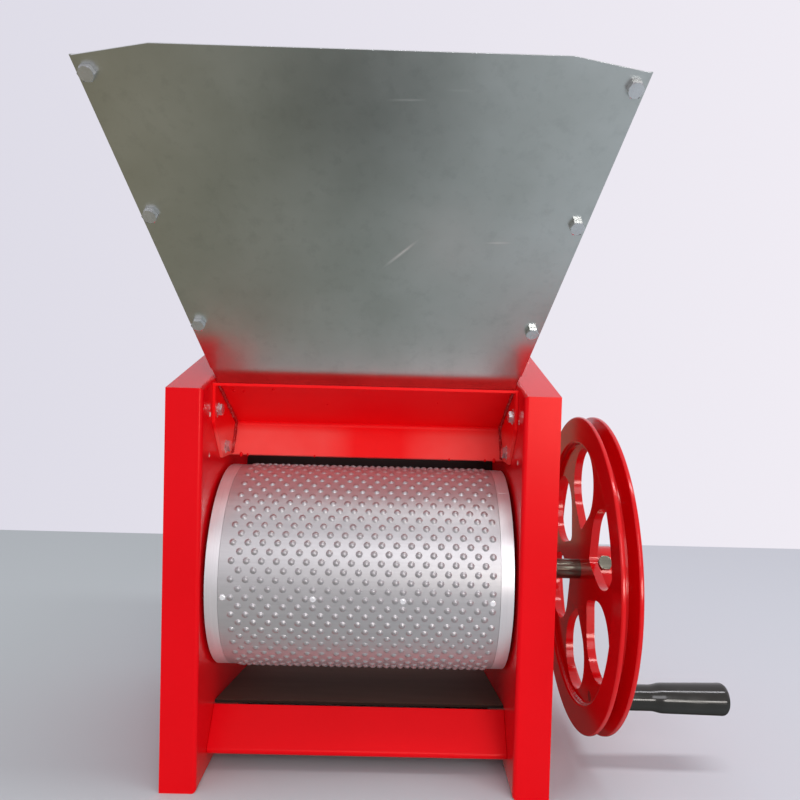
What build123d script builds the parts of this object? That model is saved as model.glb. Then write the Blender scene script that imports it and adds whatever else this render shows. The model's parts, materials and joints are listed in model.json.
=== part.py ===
from build123d import *
import os
from math import asin, atan2, cos, degrees, radians, sin, tan

os.makedirs("parts", exist_ok=True)

# A hand-cranked drum pulper: cherries slide from the hopper onto the drum, the drum squeezes
# them against the breast behind it, skins leave over the front ramp and beans over the rear chute.
# Millimetres, X to the right, Y to the rear, Z up, origin on the bench between the four foot holes.

# Folded side frames
frame_width = 25.0
frame_depth = 210.0
frame_front_height = 275.0
frame_rear_height = 330.0
frame_sheet = 2.0
fold_radius = 3.0
bench_hole_diameter = 9.0
bench_hole_spacing = 150.0

# Drum, its ends and its shaft
axis_setback = 77.0
axis_height = 140.0
drum_diameter = 150.0
drum_length = 210.0
drum_side_gap = 2.5
band_width = 9.0
drum_sheet = 1.5
bubble_height = 1.6
bubble_width = 4.6
bubble_rows = 76
spigot_length = 14.0
end_web = 6.0
end_ring = 8.0
end_hub_diameter = 40.0
end_hub_inward = 10.0
end_hub_outward = 6.0
shaft_diameter = 15.0
shaft_chamfer = 1.0
running_clearance = 0.05
slip_clearance = 0.03
seam_gap = 0.2

# Seam of the drum sheet, on the front of the drum a little below the axis
seam_angle = 184.5
seam_strip_width = 20.0
seam_strip_thickness = 3.0
rivet_count = 4
rivet_inset = 4.5
rivet_offset = -1.0
rivet_diameter = 3.0
rivet_head_diameter = 4.6
rivet_head_height = 1.1
rivet_head_taper = 30.0
bubbles_between_rivets = 6

# Two-bolt flange bearings in the hollow of each side frame
bush_outer_diameter = 22.0
boss_diameter = 36.0
housing_length = 30.0
housing_flange = 9.0
bearing_bolt_spacing = 64.0
bearing_ear_diameter = 22.0
shaft_hole_gap = 2.0

# Shaft collars outside the bearings
collar_diameter = 28.0
collar_width = 8.0
collar_gap = 0.2
collar_screw_diameter = 5.0

# Flywheel with one belt groove, six petal openings and a boss for the crank
wheel_standoff = 16.0
wheel_diameter = 238.0
rim_width = 14.5
rim_crown = 3.0
rim_depth = 21.0
groove_depth = 13.0
groove_floor = 3.0
wheel_web = 6.0
rim_fillet = 2.0
lip_radius = 1.2
hub_fillet = 3.0
wheel_hub_diameter = 36.0
wheel_hub_length = 24.0
petal_count = 6
petal_tip_radius = 6.0
petal_hub_gap = 14.0
petal_head_radius = 28.0
petal_rim_gap = 3.0
wheel_screw_back = 9.0
wheel_screw_angle = 152.0
shaft_overhang = 2.0

# Crank: a fixed spindle with a turning grip
crank_inset = 5.5
crank_angle = -116.0
crank_boss_diameter = 24.0
crank_boss_proud = 3.0
spindle_diameter = 8.0
spindle_head_diameter = 12.0
spindle_head_height = 4.0
grip_end_gap = 0.5
grip_length = 86.0
neck_diameter = 18.0
neck_length = 29.0
swell_length = 11.0
swell_diameter = 21.0
grip_diameter = 22.5
grip_end_radius = 4.0
cap_diameter = 14.0
cap_length = 5.0
cap_gap = 1.0

# Front guard: the plate that closes the throat in front, bent back and then down to the drum
guard_lip_setback = 25.0
guard_lip = 9.0
guard_reach = 59.0
heel_forward = 14.5
heel_fall = 24.3
guard_drum_gap = 8.3
ear_foot = 28.0
ear_drop = 26.0
ear_bolt_inset = 9.0
ear_bolt_drop = 17.0

# Rear guard: the plate from the hopper's rear foot down to the top of the breast
rear_lip = 9.0
rear_guard_cover = 6.7
rear_guard_gap = 7.9

# Front ramp for the skins and rear chute for the beans
ramp_top_setback = 46.0
ramp_foot_setback = 23.2
ramp_top_height = 41.4
ramp_foot_height = 12.9
ramp_return = 14.0
chute_gap = 2.0
chute_overhang = 16.0
chute_end_height = 9.0
chute_lip = 12.0

# Galvanised hopper of four bolted panels
hopper_sheet = 1.2
hopper_front_lean = 42.9
hopper_foot_gap = 1.5
hopper_spread = 38.8
hopper_corner_slant = 220.7
hopper_crown_inset = 39.8
hopper_crown_rise = 6.8
hopper_foot_drop = 5.1
hopper_rear_setback = 30.9
hopper_seat_gap = 0.2
flange_width = 12.0
flange_proud = 1.3
flange_start = 12.0
tab_start = 104.0
tab_end = 172.0
tab_reach = 20.0
tab_bolt_inset = 15.0
front_bolt_slants = (53.6, 133.4, 213.0)
rear_bolt_slants = (34.0, 112.0)
panel_bolt_inset = 5.1

# Breast behind the drum, on guide pins, with two captive adjusting screws in the rear crossbar
breast_thickness = 9.0
breast_gap = 7.0
breast_rise = 3.0
breast_top_angle = 34.0
breast_foot_angle = -50.0
breast_end_gap = 1.0
breast_boss_diameter = 26.0
breast_boss_length = 13.0
breast_travel_in = 2.0
breast_travel_out = 4.0
pin_diameter = 6.0
pin_depth = 14.0
pin_proud = 5.0
pin_slot_gap = 0.4
pin_angles = (22.0, -38.0)
screw_diameter = 10.0
screw_spacing = 120.0
screw_tip = 12.0
screw_hole_gap = 0.3
screw_end_gap = 0.3
stop_gap = 1.1
crossbar_sheet = 5.0
crossbar_height = 46.0
crossbar_leg = 14.0
stop_nut_height = 8.0

# Hexagon fasteners: width across flats, head height, nut height
m5 = 5.0
m5_flats = 8.0
m5_head = 3.5
m5_nut = 4.0
m6 = 6.0
m6_flats = 10.0
m6_head = 4.0
m6_nut = 5.0
m8 = 8.0
m8_flats = 13.0
m8_head = 5.3
m8_nut = 6.5
m10_flats = 17.0
m10_head = 7.0
bolt_end = 2.0
hole_clearance = 0.3

# Places worked out from the sizes
frame_gap = drum_length + 2 * drum_side_gap
web_x = frame_gap / 2
front_y = -frame_depth / 2
rear_y = frame_depth / 2
axis_y = front_y + axis_setback
drum_radius = drum_diameter / 2
shaft_radius = shaft_diameter / 2
top_slope = degrees(atan2(frame_rear_height - frame_front_height, frame_depth))
housing_x = web_x + frame_sheet
boss_end_x = housing_x + housing_length
collar_x = boss_end_x + collar_gap
wheel_x = collar_x + collar_width + wheel_standoff
shaft_axis = Axis((0, axis_y, axis_height), (1, 0, 0))
shaft_plane = Plane((0, axis_y, axis_height), x_dir=(1, 0, 0), z_dir=(0, -1, 0))
web_plane = Plane((web_x, 0, 0), x_dir=(0, 1, 0), z_dir=(1, 0, 0))
frame_top_plane = Plane(
    (0, front_y, frame_front_height),
    x_dir=(1, 0, 0),
    z_dir=(0, -sin(radians(top_slope)), cos(radians(top_slope))),
)
foot_hole_x = web_x + frame_width / 2

# Corners of the front guard in side view, from the drum's top upwards
heel_z = axis_height + drum_radius + guard_drum_gap
bend_z = heel_z + heel_fall
lip_y = front_y + guard_lip_setback
guard_fold_y = lip_y + guard_lip
hopper_foot_z = frame_front_height + (guard_fold_y - front_y) * tan(radians(top_slope)) - hopper_foot_drop
lip_z = hopper_foot_z - hopper_seat_gap - frame_sheet
bend_y = guard_fold_y + guard_reach
heel_y = bend_y - heel_forward
guard_bolt_places = (
    (lip_y + ear_bolt_inset, lip_z - ear_bolt_drop),
    (heel_y - ear_foot + ear_bolt_inset, heel_z + m5_flats),
)

# The hopper's two sloping walls stand on the lips of the guards
front_foot = Vector(0, guard_fold_y, hopper_foot_z)
slope_direction = Vector(0, cos(radians(top_slope)), sin(radians(top_slope)))
hopper_mouth = (rear_y - hopper_rear_setback - guard_fold_y) / slope_direction.Y
rear_foot = front_foot + slope_direction * hopper_mouth
hopper_rear_lean = hopper_front_lean - 2 * top_slope
front_up = Vector(0, -sin(radians(hopper_front_lean)), cos(radians(hopper_front_lean)))
front_out = Vector(0, -cos(radians(hopper_front_lean)), -sin(radians(hopper_front_lean)))
rear_up = Vector(0, sin(radians(hopper_rear_lean)), cos(radians(hopper_rear_lean)))
rear_out = Vector(0, cos(radians(hopper_rear_lean)), -sin(radians(hopper_rear_lean)))
hopper_foot_half = web_x - hopper_foot_gap
hopper_corner_half = hopper_foot_half + hopper_spread
hopper_flare = hopper_spread / hopper_corner_slant
hopper_top_z = front_foot.Z + hopper_corner_slant * front_up.Z
rear_corner_slant = (hopper_top_z - rear_foot.Z) / rear_up.Z
flange_inset = flange_width * (1 + hopper_flare**2) ** 0.5


def hopper_half(slant):
    """Half the width of a sloping hopper panel at a height along its slope."""
    return hopper_foot_half + hopper_flare * slant


def front_point(x, slant, depth=0.0):
    """A point of the front panel, or behind its outer face by a depth."""
    return front_foot + front_up * slant - front_out * depth + Vector(x, 0, 0)


def rear_point(x, slant, depth=0.0):
    """A point of the rear panel, or inside its outer face by a depth."""
    return rear_foot + rear_up * slant - rear_out * depth + Vector(x, 0, 0)


def save(piece, name):
    """Label one finished piece and write it under its name."""
    piece.part.label = name
    export_step(piece.part, f"parts/{name}.step")


def hex_bolts(planes, flats, head, shank, length):
    """Bolts whose heads stand on the given planes and whose shanks go down from them."""
    with BuildPart() as bolts:
        for plane in planes:
            with BuildSketch(plane):
                RegularPolygon(flats / 2, 6, major_radius=False)
            extrude(amount=head)
            with BuildSketch(plane):
                Circle(shank / 2)
            extrude(amount=-length)
    return bolts


def hex_nuts(planes, flats, height, bore):
    """Nuts that stand on the given planes, with clear bores."""
    with BuildPart() as nuts:
        for plane in planes:
            with BuildSketch(plane):
                RegularPolygon(flats / 2, 6, major_radius=False)
                Circle(bore / 2 + hole_clearance, mode=Mode.SUBTRACT)
            extrude(amount=height)
    return nuts


def mirrored(piece):
    """The left-hand copy of a right-hand piece."""
    with BuildPart() as copy:
        mirror(piece.part, about=Plane.YZ)
    return copy


def folded_plate(points, sheet, length):
    """A plate folded along X: its side view follows the points, on their left."""
    with BuildPart() as plate:
        with BuildSketch(Plane.YZ.offset(-length / 2)):
            with BuildLine():
                FilletPolyline(*points, radius=fold_radius)
                offset(amount=sheet, side=Side.LEFT)
            make_face()
        extrude(amount=length)
    return plate


# Side frames: trays folded outwards from an inner web
breast_centre_z = axis_height + breast_rise
breast_inner = drum_radius + bubble_height + breast_gap
breast_outer = breast_inner + breast_thickness
pin_radius = breast_inner + breast_thickness / 2
pin_places = [
    (axis_y + pin_radius * cos(radians(angle)), breast_centre_z + pin_radius * sin(radians(angle)))
    for angle in pin_angles
]
slot_length = pin_diameter + breast_travel_in + breast_travel_out + 2 * pin_slot_gap
slot_shift = (breast_travel_out - breast_travel_in) / 2
tab_bolt_places = [
    (foot_hole_x, tab_start + tab_bolt_inset),
    (foot_hole_x, tab_end - tab_bolt_inset),
]

with BuildPart() as right_side_frame:
    with BuildSketch(web_plane):
        with BuildLine():
            Polyline(
                (front_y, 0),
                (rear_y, 0),
                (rear_y, frame_rear_height),
                (front_y, frame_front_height),
                close=True,
            )
        make_face()
    extrude(amount=frame_width)
    fillet(right_side_frame.faces().sort_by(Axis.X)[0].edges(), radius=fold_radius)
    offset(amount=-frame_sheet, openings=right_side_frame.faces().sort_by(Axis.X)[-1])
    with BuildSketch(web_plane):
        with Locations((axis_y, axis_height)):
            Circle(shaft_radius + shaft_hole_gap)
            with Locations((0, bearing_bolt_spacing / 2), (0, -bearing_bolt_spacing / 2)):
                Circle(m8 / 2 + hole_clearance)
        with Locations(*guard_bolt_places):
            Circle(m5 / 2 + hole_clearance)
        with Locations(*[(y + slot_shift, z) for y, z in pin_places]):
            SlotOverall(slot_length, pin_diameter + 2 * pin_slot_gap)
    extrude(amount=frame_sheet, mode=Mode.SUBTRACT)
    with BuildSketch(frame_top_plane):
        with Locations(*tab_bolt_places):
            Circle(m6 / 2 + hole_clearance)
    extrude(amount=-frame_sheet, mode=Mode.SUBTRACT)
    with BuildSketch(Plane.XY):
        with Locations((foot_hole_x, 0)):
            with GridLocations(0, bench_hole_spacing, 1, 2):
                Circle(bench_hole_diameter / 2)
    extrude(amount=frame_sheet, mode=Mode.SUBTRACT)
save(right_side_frame, "right_side_frame")
save(mirrored(right_side_frame), "left_side_frame")

# Bearing housings, bushes and their bolts
housing_plane = Plane((housing_x, axis_y, axis_height), x_dir=(0, 1, 0), z_dir=(1, 0, 0))
bearing_bolt_rows = ((0, bearing_bolt_spacing / 2), (0, -bearing_bolt_spacing / 2))
with BuildPart() as right_bearing_housing:
    with BuildSketch(housing_plane):
        Circle(boss_diameter / 2 + fold_radius)
        with Locations(*bearing_bolt_rows):
            Circle(bearing_ear_diameter / 2)
        make_hull()
    extrude(amount=housing_flange)
    with BuildSketch(housing_plane):
        Circle(boss_diameter / 2)
    extrude(amount=housing_length)
    with BuildSketch(housing_plane):
        Circle(bush_outer_diameter / 2)
    extrude(amount=housing_length, mode=Mode.SUBTRACT)
    with BuildSketch(housing_plane):
        with Locations(*bearing_bolt_rows):
            Circle(m8 / 2 + hole_clearance)
    extrude(amount=housing_flange, mode=Mode.SUBTRACT)
save(right_bearing_housing, "right_bearing_housing")
save(mirrored(right_bearing_housing), "left_bearing_housing")

with BuildPart() as right_bearing_bush:
    with BuildSketch(housing_plane):
        Circle(bush_outer_diameter / 2 - slip_clearance)
        Circle(shaft_radius + running_clearance, mode=Mode.SUBTRACT)
    extrude(amount=housing_length)
save(right_bearing_bush, "right_bearing_bush")
save(mirrored(right_bearing_bush), "left_bearing_bush")

bearing_heads = []
bearing_nut_seats = []
for sign in (-1, 1):
    for shift in (-bearing_bolt_spacing / 2, bearing_bolt_spacing / 2):
        place = (sign * web_x, axis_y, axis_height + shift)
        bearing_heads.append(Plane(place, x_dir=(0, 1, 0), z_dir=(-sign, 0, 0)))
        seat = (sign * (housing_x + housing_flange), axis_y, axis_height + shift)
        bearing_nut_seats.append(Plane(seat, x_dir=(0, 1, 0), z_dir=(sign, 0, 0)))
bearing_bolt_length = frame_sheet + housing_flange + m8_nut + bolt_end
save(hex_bolts(bearing_heads, m8_flats, m8_head, m8, bearing_bolt_length), "bearing_bolts")
save(hex_nuts(bearing_nut_seats, m8_flats, m8_nut, m8), "bearing_nuts")

# Drum shaft and its collars
wheel_web_x = wheel_x + (rim_width - wheel_web) / 2
wheel_hub_end = wheel_web_x + wheel_hub_length
shaft_left = -(collar_x + collar_width + shaft_overhang)
shaft_right = wheel_hub_end + shaft_overhang
with BuildPart() as drum_shaft:
    with BuildSketch(Plane.YZ.offset(shaft_left)):
        with Locations((axis_y, axis_height)):
            Circle(shaft_radius)
    extrude(amount=shaft_right - shaft_left)
    chamfer(drum_shaft.faces().filter_by(GeomType.PLANE).edges(), length=shaft_chamfer)
save(drum_shaft, "drum_shaft")

collar_plane = Plane((collar_x, axis_y, axis_height), x_dir=(0, 1, 0), z_dir=(1, 0, 0))
collar_bore = shaft_radius + slip_clearance
collar_screw_plane = Plane((collar_x + collar_width / 2, axis_y, axis_height))
with BuildPart() as right_collar:
    with BuildSketch(collar_plane):
        Circle(collar_diameter / 2)
        Circle(collar_bore, mode=Mode.SUBTRACT)
    extrude(amount=collar_width)
    with BuildSketch(collar_screw_plane):
        Circle(collar_screw_diameter / 2 + slip_clearance)
    extrude(amount=collar_diameter / 2, mode=Mode.SUBTRACT)
save(right_collar, "right_collar")
save(mirrored(right_collar), "left_collar")

with BuildPart() as collar_screws:
    with BuildSketch(collar_screw_plane.offset(collar_bore)):
        Circle(collar_screw_diameter / 2)
    extrude(amount=collar_diameter / 2 - collar_bore - screw_end_gap)
    mirror(about=Plane.YZ)
save(collar_screws, "collar_screws")

# Each row of bubbles lies on a narrow flat of the rolled sheet, and the seam rivets stand in one of
# these rows and also go through the spigots of the drum ends
row_angle = 360 / bubble_rows
row_flat = drum_radius * cos(radians(row_angle / 2))
band_face = drum_length / 2
band_step = band_face - band_width
rivet_pitch = 2 * (band_step - rivet_inset) / (rivet_count - 1)
rivet_direction = Vector(0, cos(radians(seam_angle)), sin(radians(seam_angle)))
rivet_planes = [
    Plane(
        Vector(rivet_offset + (i - (rivet_count - 1) / 2) * rivet_pitch, axis_y, axis_height)
        + rivet_direction * row_flat,
        x_dir=(1, 0, 0),
        z_dir=tuple(rivet_direction),
    )
    for i in range(rivet_count)
]
strip_outer = drum_radius - drum_sheet - slip_clearance
strip_inner = strip_outer - seam_strip_thickness
strip_half_angle = degrees(asin(seam_strip_width / 2 / strip_outer))
rivet_depth = row_flat - strip_inner

with BuildPart() as rivet_holes:
    for plane in rivet_planes:
        with BuildSketch(plane.offset(rivet_depth)):
            Circle(rivet_diameter / 2 + slip_clearance)
        extrude(amount=-2 * rivet_depth - slip_clearance)

# Drum ends: a plain band, a spigot under the sheet, a web and a hub
spigot_face = band_step - spigot_length
end_web_face = spigot_face + end_web
end_bore = shaft_radius + slip_clearance
end_hub_radius = end_hub_diameter / 2
spigot_radius = drum_radius - drum_sheet - slip_clearance
end_ring_radius = drum_radius - drum_sheet - end_ring
drum_screw_plane = Plane((spigot_face - end_hub_inward / 2, axis_y, axis_height))
with BuildPart() as end_casting:
    with BuildSketch(shaft_plane):
        with BuildLine():
            Polyline(
                (spigot_face - end_hub_inward, end_bore),
                (end_web_face + end_hub_outward, end_bore),
                (end_web_face + end_hub_outward, end_hub_radius),
                (end_web_face, end_hub_radius),
                (end_web_face, end_ring_radius),
                (band_face, end_ring_radius),
                (band_face, drum_radius),
                (band_step, drum_radius),
                (band_step, spigot_radius),
                (spigot_face, spigot_radius),
                (spigot_face, end_hub_radius),
                (spigot_face - end_hub_inward, end_hub_radius),
                close=True,
            )
        make_face()
    revolve(axis=shaft_axis)
    with BuildSketch(drum_screw_plane):
        Circle(collar_screw_diameter / 2 + slip_clearance)
    extrude(amount=end_hub_radius, mode=Mode.SUBTRACT)
with BuildPart() as drum_right_end:
    add(end_casting.part)
    add(rivet_holes.part, mode=Mode.SUBTRACT)
save(drum_right_end, "drum_right_end")
with BuildPart() as drum_left_end:
    mirror(end_casting.part, about=Plane.YZ)
    add(rivet_holes.part, mode=Mode.SUBTRACT)
save(drum_left_end, "drum_left_end")

with BuildPart() as drum_screws:
    with BuildSketch(drum_screw_plane.offset(end_bore)):
        Circle(collar_screw_diameter / 2)
    extrude(amount=end_hub_radius - end_bore - screw_end_gap)
    mirror(about=Plane.YZ)
save(drum_screws, "drum_screws")

# One bubble, on its foot, and the bubbles of two neighbouring rows round the X axis
with BuildPart() as bubble:
    with BuildSketch() as bubble_foot:
        Rectangle(bubble_width, bubble_width)
    loft(sections=(bubble_foot.sketch.face(), Vertex(0, 0, bubble_height)))

row_bubbles = (rivet_count - 1) * bubbles_between_rivets
bubble_pitch = rivet_pitch / bubbles_between_rivets
with BuildPart() as row_pair:
    for angle, shift in ((0, 0), (row_angle, bubble_pitch / 2)):
        row_plane = Plane((rivet_offset + shift, 0, 0), x_dir=(1, 0, 0), z_dir=(0, 1, 0))
        with Locations(row_plane.rotated((angle, 0, 0)).offset(row_flat)):
            with GridLocations(bubble_pitch, 0, row_bubbles, 1):
                add(bubble.part)

# Drum sheet, pressed with bubbles, with its seam strip and rivets
drum_plane = Plane((0, axis_y, axis_height), x_dir=(0, 1, 0), z_dir=(1, 0, 0))
with BuildPart() as bubble_sheet:
    with BuildSketch(drum_plane.offset(-band_step + seam_gap)):
        RegularPolygon(drum_radius, bubble_rows, rotation=seam_angle + row_angle / 2)
        Circle(drum_radius - drum_sheet, mode=Mode.SUBTRACT)
    extrude(amount=2 * (band_step - seam_gap))
    add(rivet_holes.part, mode=Mode.SUBTRACT)
    pair_places = [
        Location((0, axis_y, axis_height), (seam_angle + 2 * row_angle * pair, 0, 0))
        for pair in range(bubble_rows // 2)
    ]
    with Locations(*pair_places):
        add(row_pair.part, clean=False)
save(bubble_sheet, "bubble_sheet")

with BuildPart() as seam_strip:
    with BuildSketch(Plane.YZ.offset(-spigot_face + seam_gap)):
        with BuildLine():
            outer = CenterArc(
                (axis_y, axis_height), strip_outer, seam_angle - strip_half_angle, 2 * strip_half_angle
            )
            inner = CenterArc(
                (axis_y, axis_height), strip_inner, seam_angle - strip_half_angle, 2 * strip_half_angle
            )
            Line(outer @ 0, inner @ 0)
            Line(outer @ 1, inner @ 1)
        make_face()
    extrude(amount=2 * (spigot_face - seam_gap))
    add(rivet_holes.part, mode=Mode.SUBTRACT)
save(seam_strip, "seam_strip")

with BuildPart() as seam_rivets:
    for plane in rivet_planes:
        with BuildSketch(plane):
            Circle(rivet_diameter / 2)
        extrude(amount=-rivet_depth)
        with BuildSketch(plane):
            Circle(rivet_head_diameter / 2)
        extrude(amount=rivet_head_height, taper=rivet_head_taper)
save(seam_rivets, "seam_rivets")

# Flywheel
wheel_radius = wheel_diameter / 2
rim_inner = wheel_radius - rim_depth
groove_radius = wheel_radius - groove_depth
wheel_hub_radius = wheel_hub_diameter / 2
petal_tip_centre = wheel_hub_radius + petal_hub_gap + petal_tip_radius
petal_head_centre = rim_inner - petal_rim_gap - petal_head_radius
crank_radius = rim_inner - crank_inset
wheel_outer_x = wheel_x + rim_width
wheel_mid_x = wheel_x + rim_width / 2
wheel_web_end = wheel_web_x + wheel_web
crank_y = axis_y + crank_radius * cos(radians(crank_angle))
crank_z = axis_height + crank_radius * sin(radians(crank_angle))
crank_plane = Plane((wheel_web_x, crank_y, crank_z), x_dir=(0, 1, 0), z_dir=(1, 0, 0))
crank_boss_height = wheel_outer_x + crank_boss_proud - wheel_web_x
wheel_face_plane = Plane((wheel_web_x, axis_y, axis_height), x_dir=(0, 1, 0), z_dir=(1, 0, 0))
wheel_screw_out = Vector(0, cos(radians(wheel_screw_angle)), sin(radians(wheel_screw_angle)))
wheel_screw_plane = Plane(
    Vector(wheel_hub_end - wheel_screw_back, axis_y, axis_height) + wheel_screw_out * wheel_hub_radius,
    x_dir=(1, 0, 0),
    z_dir=wheel_screw_out,
)
wheel_screw_length = wheel_hub_radius - shaft_radius - slip_clearance

with BuildSketch() as petal:
    with Locations((petal_tip_centre, 0)):
        Circle(petal_tip_radius)
    with Locations((petal_head_centre, 0)):
        Circle(petal_head_radius)
    make_hull()

with BuildPart() as flywheel:
    with BuildSketch(shaft_plane):
        with BuildLine():
            Polyline(
                (wheel_web_x, shaft_radius + slip_clearance),
                (wheel_hub_end, shaft_radius + slip_clearance),
                (wheel_hub_end, wheel_hub_radius),
                (wheel_web_end, wheel_hub_radius),
                (wheel_web_end, rim_inner),
                (wheel_outer_x, rim_inner),
                (wheel_outer_x, wheel_radius),
                (wheel_outer_x - rim_crown, wheel_radius),
                (wheel_mid_x + groove_floor / 2, groove_radius),
                (wheel_mid_x - groove_floor / 2, groove_radius),
                (wheel_x + rim_crown, wheel_radius),
                (wheel_x, wheel_radius),
                (wheel_x, rim_inner),
                (wheel_web_x, rim_inner),
                close=True,
            )
        make_face()
        fillet(vertices().group_by(Axis.Y)[-1], lip_radius)
        fillet(vertices().filter_by_position(Axis.Y, rim_inner, rim_inner), rim_fillet)
        hub_corner = (wheel_web_end, wheel_hub_radius)
        fillet(vertices().sort_by_distance(hub_corner)[0], hub_fillet)
    revolve(axis=shaft_axis)
    with BuildSketch(wheel_face_plane):
        with PolarLocations(0, petal_count, start_angle=crank_angle + 180 / petal_count):
            add(petal.sketch)
    extrude(amount=wheel_web, mode=Mode.SUBTRACT)
    with BuildSketch(crank_plane):
        Circle(crank_boss_diameter / 2)
    extrude(amount=crank_boss_height)
    with BuildSketch(crank_plane):
        Circle(spindle_diameter / 2 + slip_clearance)
    extrude(amount=crank_boss_height, mode=Mode.SUBTRACT)
    with BuildSketch(wheel_screw_plane):
        Circle(m6 / 2 + slip_clearance)
    extrude(amount=-wheel_hub_radius, mode=Mode.SUBTRACT)
save(flywheel, "flywheel")
save(hex_bolts([wheel_screw_plane], m6_flats, m6_head, m6, wheel_screw_length), "wheel_screw")

# Crank spindle, grip and the cap that closes the grip
grip_x = wheel_web_x + crank_boss_height + grip_end_gap
grip_end = grip_x + grip_length
cap_seat = grip_end - cap_length
spindle_end = cap_seat - cap_gap
spindle_neck = spindle_end - spindle_head_height
grip_plane = Plane((0, crank_y, crank_z), x_dir=(1, 0, 0), z_dir=(0, -1, 0))
grip_axis = Axis((0, crank_y, crank_z), (1, 0, 0))
chamber_radius = spindle_head_diameter / 2 + screw_hole_gap
with BuildPart() as crank_spindle:
    with BuildSketch(grip_plane):
        with BuildLine():
            Polyline(
                (wheel_web_x, 0),
                (spindle_end, 0),
                (spindle_end, spindle_head_diameter / 2),
                (spindle_neck, spindle_head_diameter / 2),
                (spindle_neck, spindle_diameter / 2),
                (wheel_web_x, spindle_diameter / 2),
                close=True,
            )
        make_face()
    revolve(axis=grip_axis)
save(crank_spindle, "crank_spindle")

with BuildPart() as crank_grip:
    with BuildSketch(grip_plane):
        with BuildLine():
            flare_middle = (grip_x + neck_length + swell_length / 2, (neck_diameter + swell_diameter) / 4)
            hollow = TangentArc((grip_x + neck_length, neck_diameter / 2), flare_middle, tangent=(1, 0))
            swell = TangentArc(
                (grip_x + neck_length + swell_length, swell_diameter / 2), flare_middle, tangent=(-1, 0)
            )
            Polyline(
                hollow @ 0,
                (grip_x, neck_diameter / 2),
                (grip_x, spindle_diameter / 2 + running_clearance),
                (spindle_neck - grip_end_gap, spindle_diameter / 2 + running_clearance),
                (spindle_neck - grip_end_gap, chamber_radius),
                (cap_seat, chamber_radius),
                (cap_seat, cap_diameter / 2),
                (grip_end, cap_diameter / 2),
                (grip_end, grip_diameter / 2 - grip_end_radius),
            )
            rounded = RadiusArc(
                (grip_end, grip_diameter / 2 - grip_end_radius),
                (grip_end - grip_end_radius, grip_diameter / 2),
                -grip_end_radius,
            )
            Line(rounded @ 1, swell @ 0)
        make_face()
    revolve(axis=grip_axis)
save(crank_grip, "crank_grip")

with BuildPart() as grip_cap:
    with BuildSketch(Plane.YZ.offset(cap_seat)):
        with Locations((crank_y, crank_z)):
            Circle(cap_diameter / 2 - slip_clearance)
    extrude(amount=cap_length)
save(grip_cap, "grip_cap")

# Front guard with an ear against each side frame
guard_points = [(lip_y, lip_z), (guard_fold_y, lip_z), (bend_y, bend_z), (heel_y, heel_z)]
with BuildPart() as front_guard:
    add(folded_plate(guard_points, frame_sheet, frame_gap).part)
    for sign in (-1, 1):
        ear_plane = Plane.YZ.offset(sign * web_x)
        with BuildSketch(ear_plane):
            with BuildLine():
                Polyline(
                    (lip_y, lip_z),
                    (guard_fold_y, lip_z),
                    (bend_y, bend_z),
                    (heel_y, heel_z),
                    (heel_y - ear_foot, heel_z),
                    (lip_y, lip_z - ear_drop),
                    close=True,
                )
            make_face()
            with Locations(*guard_bolt_places):
                Circle(m5 / 2 + hole_clearance, mode=Mode.SUBTRACT)
        extrude(amount=-sign * frame_sheet)
save(front_guard, "front_guard")

guard_heads = []
guard_nut_seats = []
for sign in (-1, 1):
    for y, z in guard_bolt_places:
        head_x = sign * (web_x - frame_sheet)
        guard_heads.append(Plane((head_x, y, z), x_dir=(0, 1, 0), z_dir=(-sign, 0, 0)))
        guard_nut_seats.append(Plane((sign * housing_x, y, z), x_dir=(0, 1, 0), z_dir=(sign, 0, 0)))
guard_bolt_length = 2 * frame_sheet + m5_nut + bolt_end
save(hex_bolts(guard_heads, m5_flats, m5_head, m5, guard_bolt_length), "guard_bolts")
save(hex_nuts(guard_nut_seats, m5_flats, m5_nut, m5), "guard_nuts")

# Rear guard, front ramp, rear chute and crossbar: folded plates welded between the frames
rear_lip_z = rear_foot.Z - hopper_seat_gap
breast_top_y = axis_y + breast_outer * cos(radians(breast_top_angle))
breast_top_z = breast_centre_z + breast_outer * sin(radians(breast_top_angle))
rear_guard_points = [
    (breast_top_y - rear_guard_cover, breast_top_z + rear_guard_gap),
    (rear_foot.Y, rear_lip_z - frame_sheet),
    (rear_foot.Y + rear_lip, rear_lip_z - frame_sheet),
]
save(folded_plate(rear_guard_points, frame_sheet, frame_gap), "rear_guard")

ramp_points = [
    (front_y + ramp_foot_setback + ramp_return, ramp_foot_height),
    (front_y + ramp_foot_setback, ramp_foot_height),
    (front_y + ramp_top_setback, ramp_top_height),
]
front_ramp = folded_plate(ramp_points[::-1], frame_sheet, frame_gap)
save(front_ramp, "front_ramp")

chute_points = [
    (front_y + ramp_top_setback + chute_gap, ramp_top_height),
    (rear_y + chute_overhang, chute_end_height),
    (rear_y + chute_overhang + chute_lip, chute_end_height - chute_lip * tan(radians(top_slope))),
]
save(folded_plate(chute_points, frame_sheet, frame_gap), "rear_chute")

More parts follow.
